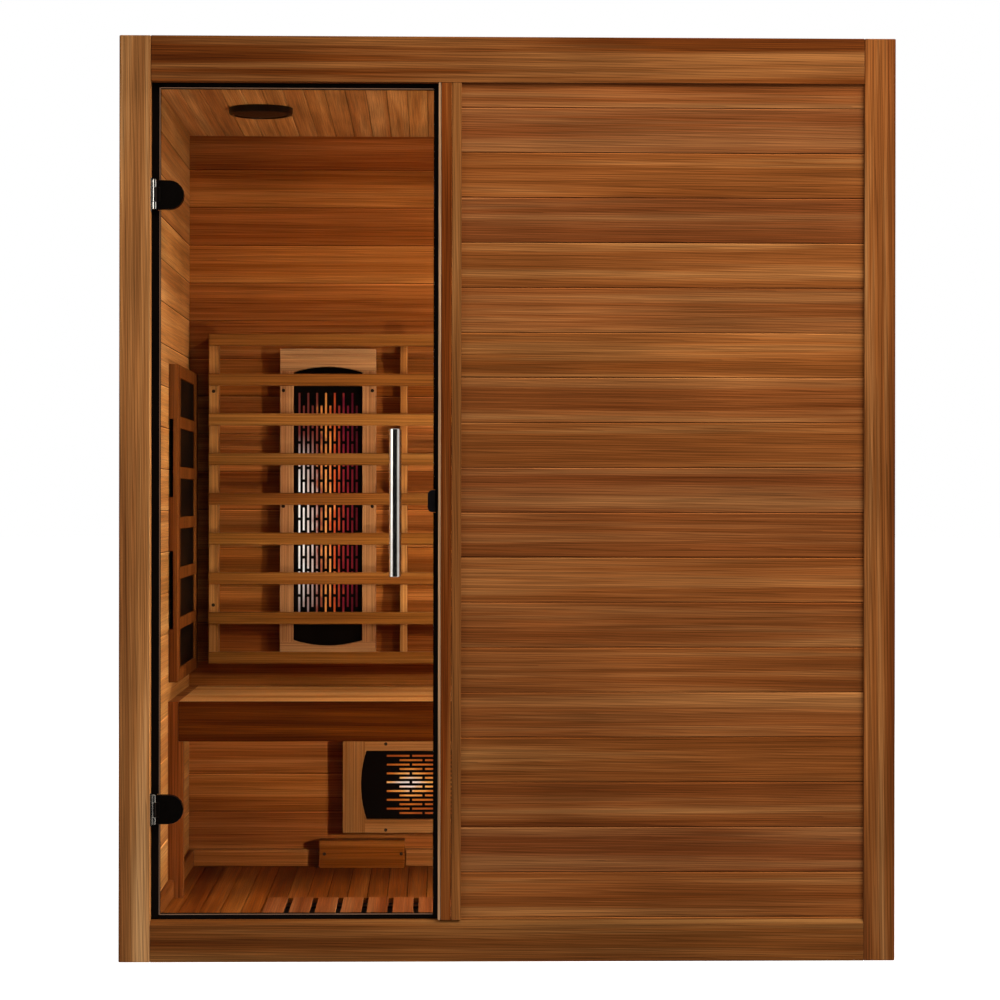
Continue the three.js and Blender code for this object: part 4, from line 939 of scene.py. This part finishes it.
def ceiling_dish(cad_node, outer, inner, outer_slot, ring):
    low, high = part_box(cad_node)
    middle = ((low[0] + high[0]) / 2, (low[1] + high[1]) / 2)
    radius, top, face = (high[0] - low[0]) / 2, high[2], low[2]
    bezel = [
        (0.0, top),
        (radius, top),
        (radius, face + BEZEL_ROUND),
        (radius - BEZEL_BEND, face + BEZEL_BEND),
        (radius - BEZEL_ROUND, face),
        (radius - ring, face),
        (radius - ring - RECESS_SLOPE, face + RECESS),
        (0.0, face + RECESS),
    ]
    mesh = bmesh.new()
    spun(mesh, bezel, middle)
    finished(cad_node + "_bezel", mesh, outer, "cabin", outer_slot, cad_node)
    bowl = radius - ring - BOWL_GAP
    dome = [
        (0.0, face + BOWL_BACK),
        (bowl, face + BOWL_BACK),
        (bowl * BOWL_SHOULDER, face + BOWL_RISE),
        (0.0, face + BOWL_FRONT),
    ]
    mesh = bmesh.new()
    spun(mesh, dome, middle)
    finished(cad_node + "_face", mesh, inner, "cabin", outer_slot)


mesh_finish = speaker_mesh_finish()
for side in ("left", "right"):
    ceiling_dish(side + "_speaker", black_plastic, mesh_finish, "black_plastic", SPEAKER_RING)
ceiling_dish("ceiling_lamp", grey_steel, lens_finish(), "lamp_lens", LAMP_RING)
print("ceiling: 2 speakers, 1 lamp")

# %% [markdown]
# ## Control panel and power inlet
# The panel inside the front wall is moulded plastic with a dark display and three round buttons. The
# display is a bare plate, so it is added here. The buttons are made again with a rounded rim, and each
# rides on its own body, because each is pressed by itself.

# %% Control panel and power inlet
PANEL_EASE, POWER_BOX_EASE = 0.0010, 0.0012
DISPLAY_HALF, DISPLAY_LOW, DISPLAY_HIGH = 0.0475, 0.0175, 0.0725
DISPLAY_BACK, DISPLAY_FRONT, DISPLAY_EASE = 0.0014, 0.0004, 0.0003
BUTTON_SIDES, BUTTON_RIM = 48, 0.0012
softened("control_panel", PANEL_EASE, grey_plastic, "grey_plastic")
low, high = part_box("control_panel")
panel_x, panel_z = (low[0] + high[0]) / 2, (low[2] + high[2]) / 2
mesh = bmesh.new()
beam(
    mesh,
    (panel_x - DISPLAY_HALF, high[1] - DISPLAY_BACK, panel_z + DISPLAY_LOW),
    (panel_x + DISPLAY_HALF, high[1] - DISPLAY_FRONT, panel_z + DISPLAY_HIGH),
)
ease(mesh, mesh.edges[:], DISPLAY_EASE)
finished("panel_display", mesh, carbon, "cabin", "grey_plastic")
for name in ("down_button", "power_button", "up_button"):
    low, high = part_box(name)
    x, z = (low[0] + high[0]) / 2, (low[2] + high[2]) / 2
    mesh = bmesh.new()
    rod(mesh, (x, low[1], z), (x, high[1], z), (high[0] - low[0]) / 2, BUTTON_SIDES, BUTTON_RIM)
    finished(name + "_cap", mesh, black_plastic, name, "button_black", name)
softened("power_box", POWER_BOX_EASE, grey_steel, "grey_steel")
print("panel with 3 buttons, power inlet")

# %% [markdown]
# ## Screws
# Dark screw heads hold the heater frames, the cable cover and the backrest. They are small, so they are
# not in the solids. Each is a flat round head with a thin cross on it, and they share one mesh.

# %% Screws
SCREW_RADIUS, SCREW_SIDES, SCREW_RIM = 0.0042, 20, 0.0002
SCREW_BACK, SCREW_PROUD = 0.0002, 0.0006
CROSS_LONG, CROSS_THIN, CROSS_PROUD, CROSS_DEEP = 0.0021, 0.0005, 0.0002, 0.0001
FRAME_SCREW_X, FRAME_SCREW_Z = 0.1085, 0.2830
CALF_SCREW_X, CALF_SCREW_Z = 0.280, (0.1423, 0.3527)
COVER_SCREW_X, COVER_SCREW_Z = (-0.420, -0.232), 0.084
UPRIGHT_SCREW_Z = (0.693, 1.214)
heater_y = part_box("calf_heater_frame")[0][1]
upright_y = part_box("backrest")[0][1] + SLAT_THICK + HAIR
spots = []
for side in ("back_left_heater", "back_right_heater"):
    low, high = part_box(side + "_frame")
    middle = (low[0] + high[0]) / 2
    for x in (middle - FRAME_SCREW_X, middle + FRAME_SCREW_X):
        spots += [(x, heater_y, HEATER_HIGH + z) for z in (-FRAME_SCREW_Z, 0, FRAME_SCREW_Z)]
for x in (CALF_X - CALF_SCREW_X, CALF_X, CALF_X + CALF_SCREW_X):
    spots += [(x, heater_y, z) for z in CALF_SCREW_Z]
spots += [(x, heater_y, COVER_SCREW_Z) for x in COVER_SCREW_X]
for x in (UPRIGHTS[0][0], UPRIGHTS[-1][0]):
    spots += [(x, upright_y, z) for z in UPRIGHT_SCREW_Z]
mesh = bmesh.new()
for x, y, z in spots:
    head = y - SCREW_PROUD
    rod(mesh, (x, y - SCREW_BACK, z), (x, head, z), SCREW_RADIUS, SCREW_SIDES, SCREW_RIM)
    for wide, tall in ((CROSS_LONG, CROSS_THIN), (CROSS_THIN, CROSS_LONG)):
        front, back = head - CROSS_PROUD, head + CROSS_DEEP
        beam(mesh, (x - wide, front, z - tall), (x + wide, back, z + tall))
finished("screw_heads", mesh, screw_steel, "cabin", "black_chrome")
print("screws:", len(spots))

# %% [markdown]
# ## Floor and background
# The cabin stands on a pale floor before a white background. One bright world could light everything, but
# then the wood would look flat. So the world is white for what the camera and mirrors see, and dimmer for
# lighting, and the floor is lifted in the same way.


# %% Floor and background
def seen_directly(tree):
    path = node(tree, "ShaderNodeLightPath")
    mirrors = sums(tree, "MAXIMUM", path.outputs["Is Glossy Ray"], path.outputs["Is Transmission Ray"])
    return sums(tree, "MAXIMUM", path.outputs["Is Camera Ray"], mirrors)


def studio_piece(name, mesh, finish):
    data = bpy.data.meshes.new(name)
    mesh.to_mesh(data)
    mesh.free()
    data.materials.append(finish)
    piece = bpy.data.objects.new(name, data)
    scene.collection.objects.link(piece)
    return piece


WORLD_LIGHT, FLOOR_LIFT, FLOOR_HALF = 0.25, 0.9, 60
FLOOR_GRAIN, FLOOR_STOPS = {"Scale": 3.0, "Detail": 2.0}, ((0.3, 0.52), (0.7, 0.54))
WHITE = grey(1.0)
world = bpy.data.worlds.new("studio")
scene.world = world
world.use_nodes = True
tree = world.node_tree
tree.nodes.clear()
strength = sums(tree, "MULTIPLY_ADD", seen_directly(tree), 1 - WORLD_LIGHT, WORLD_LIGHT)
sky = node(tree, "ShaderNodeBackground", {"Color": WHITE, "Strength": strength})
node(tree, "ShaderNodeOutputWorld", {"Surface": sky.outputs[0]})

material, tree = blank("pale_floor")
grainy = node(tree, "ShaderNodeTexNoise", FLOOR_GRAIN).outputs["Fac"]
matt = node(tree, "ShaderNodeBsdfDiffuse", {"Color": ramp(tree, grainy, *greys(FLOOR_STOPS))})
strength = sums(tree, "MULTIPLY", seen_directly(tree), FLOOR_LIFT)
lift = node(tree, "ShaderNodeEmission", {"Color": WHITE, "Strength": strength})
both = node(tree, "ShaderNodeAddShader", {0: matt.outputs[0], 1: lift.outputs[0]})
close(tree, both.outputs[0])
mesh = bmesh.new()
bmesh.ops.create_grid(mesh, x_segments=1, y_segments=1, size=FLOOR_HALF)
floor = studio_piece("studio_floor", mesh, material)
print("floor and background white")

# %% [markdown]
# ## Lamps
# Large soft lamps above, left and right light the front, and one lights the back. Three small warm lamps
# light the inside, two from behind the boarded wall and one from the ceiling. Dark cards that only
# reflections see stand behind the camera and lie before the door, which is how glass and polished steel are
# photographed, and one narrow lamp draws a streak on the handle.


# %% Lamps
def soft_lamp(name, place, target, wide, tall, watts, colour=(1, 1, 1)):
    data = bpy.data.lights.new(name, "AREA")
    data.shape = "RECTANGLE"
    data.size, data.size_y = wide, tall
    data.energy = watts
    data.color = colour
    lamp = bpy.data.objects.new(name, data)
    aim = (Vector(target) - Vector(place)).to_track_quat("-Z", "Y")
    lamp.matrix_world = Matrix.Translation(place) @ aim.to_matrix().to_4x4()
    lamp.visible_camera = False
    scene.collection.objects.link(lamp)
    return lamp


WARM = tone(255, 234, 208)[:3]
soft_lamp("high_softbox", (2.5, -2.5, 3.8), (0.3, -0.6, 1.3), 2.4, 1.4, 131).visible_glossy = False
soft_lamp("upper_softbox", (1.0, -2.1, 2.7), (0.6, -0.6, 1.5), 1.4, 0.6, 23).visible_glossy = False
soft_lamp("left_softbox", (-4.2, -3.2, 2.0), (-0.4, -0.6, 1.0), 1.6, 2.6, 39)
soft_lamp("right_softbox", (3.6, -4.2, 2.2), (0.4, -0.6, 1.0), 2.0, 2.4, 35).visible_glossy = False
soft_lamp("back_softbox", (1.5, 5.0, 3.4), (0, 0.6, 1.0), 2.6, 2.6, 150)
soft_lamp("streak_lamp", (2.45, -3.6, 0.937), (-0.23, -0.64, 0.937), 1.1, 0.23, 0.4)
for name, place, target, wide, tall, watts in (
    ("inside_lamp", (0.52, -0.46, 0.97), (-0.45, 0.50, 1.0), 0.10, 0.20, 8.4),
    ("low_inside_lamp", (0.46, -0.46, 0.33), (-0.40, 0.55, 0.25), 0.08, 0.10, 12.8),
    ("ceiling_glow", (0.0, -0.197, 1.82), (0.0, -0.197, 0), 0.12, 0.12, 7.4),
):
    soft_lamp(name, place, target, wide, tall, watts, WARM).visible_glossy = False

CARD_LEVEL, CARD_HALF, CARD_TALL = 0.02, 9.0, 5.5
CARD_BACK, CARD_FACE, CARD_START, CARD_END = -9.02, -9.0, -8.99, -1.2
CARD_UNDER, CARD_OVER = 0.002, 0.003
material, tree = blank("dark_card")
close(tree, node(tree, "ShaderNodeBsdfDiffuse", {"Color": grey(CARD_LEVEL)}).outputs[0])
mesh = bmesh.new()
beam(mesh, (-CARD_HALF, CARD_BACK, CARD_UNDER), (CARD_HALF, CARD_FACE, CARD_TALL))
beam(mesh, (-CARD_HALF, CARD_START, CARD_UNDER), (CARD_HALF, CARD_END, CARD_OVER))
card = studio_piece("dark_card", mesh, material)
card.visible_camera = card.visible_diffuse = card.visible_shadow = card.visible_transmission = False
print("lamps: 9")

# %% [markdown]
# ## Finish
# Colours are shown as they are, so the view transform is Standard.

# %% Finish
scene.view_settings.view_transform = "Standard"
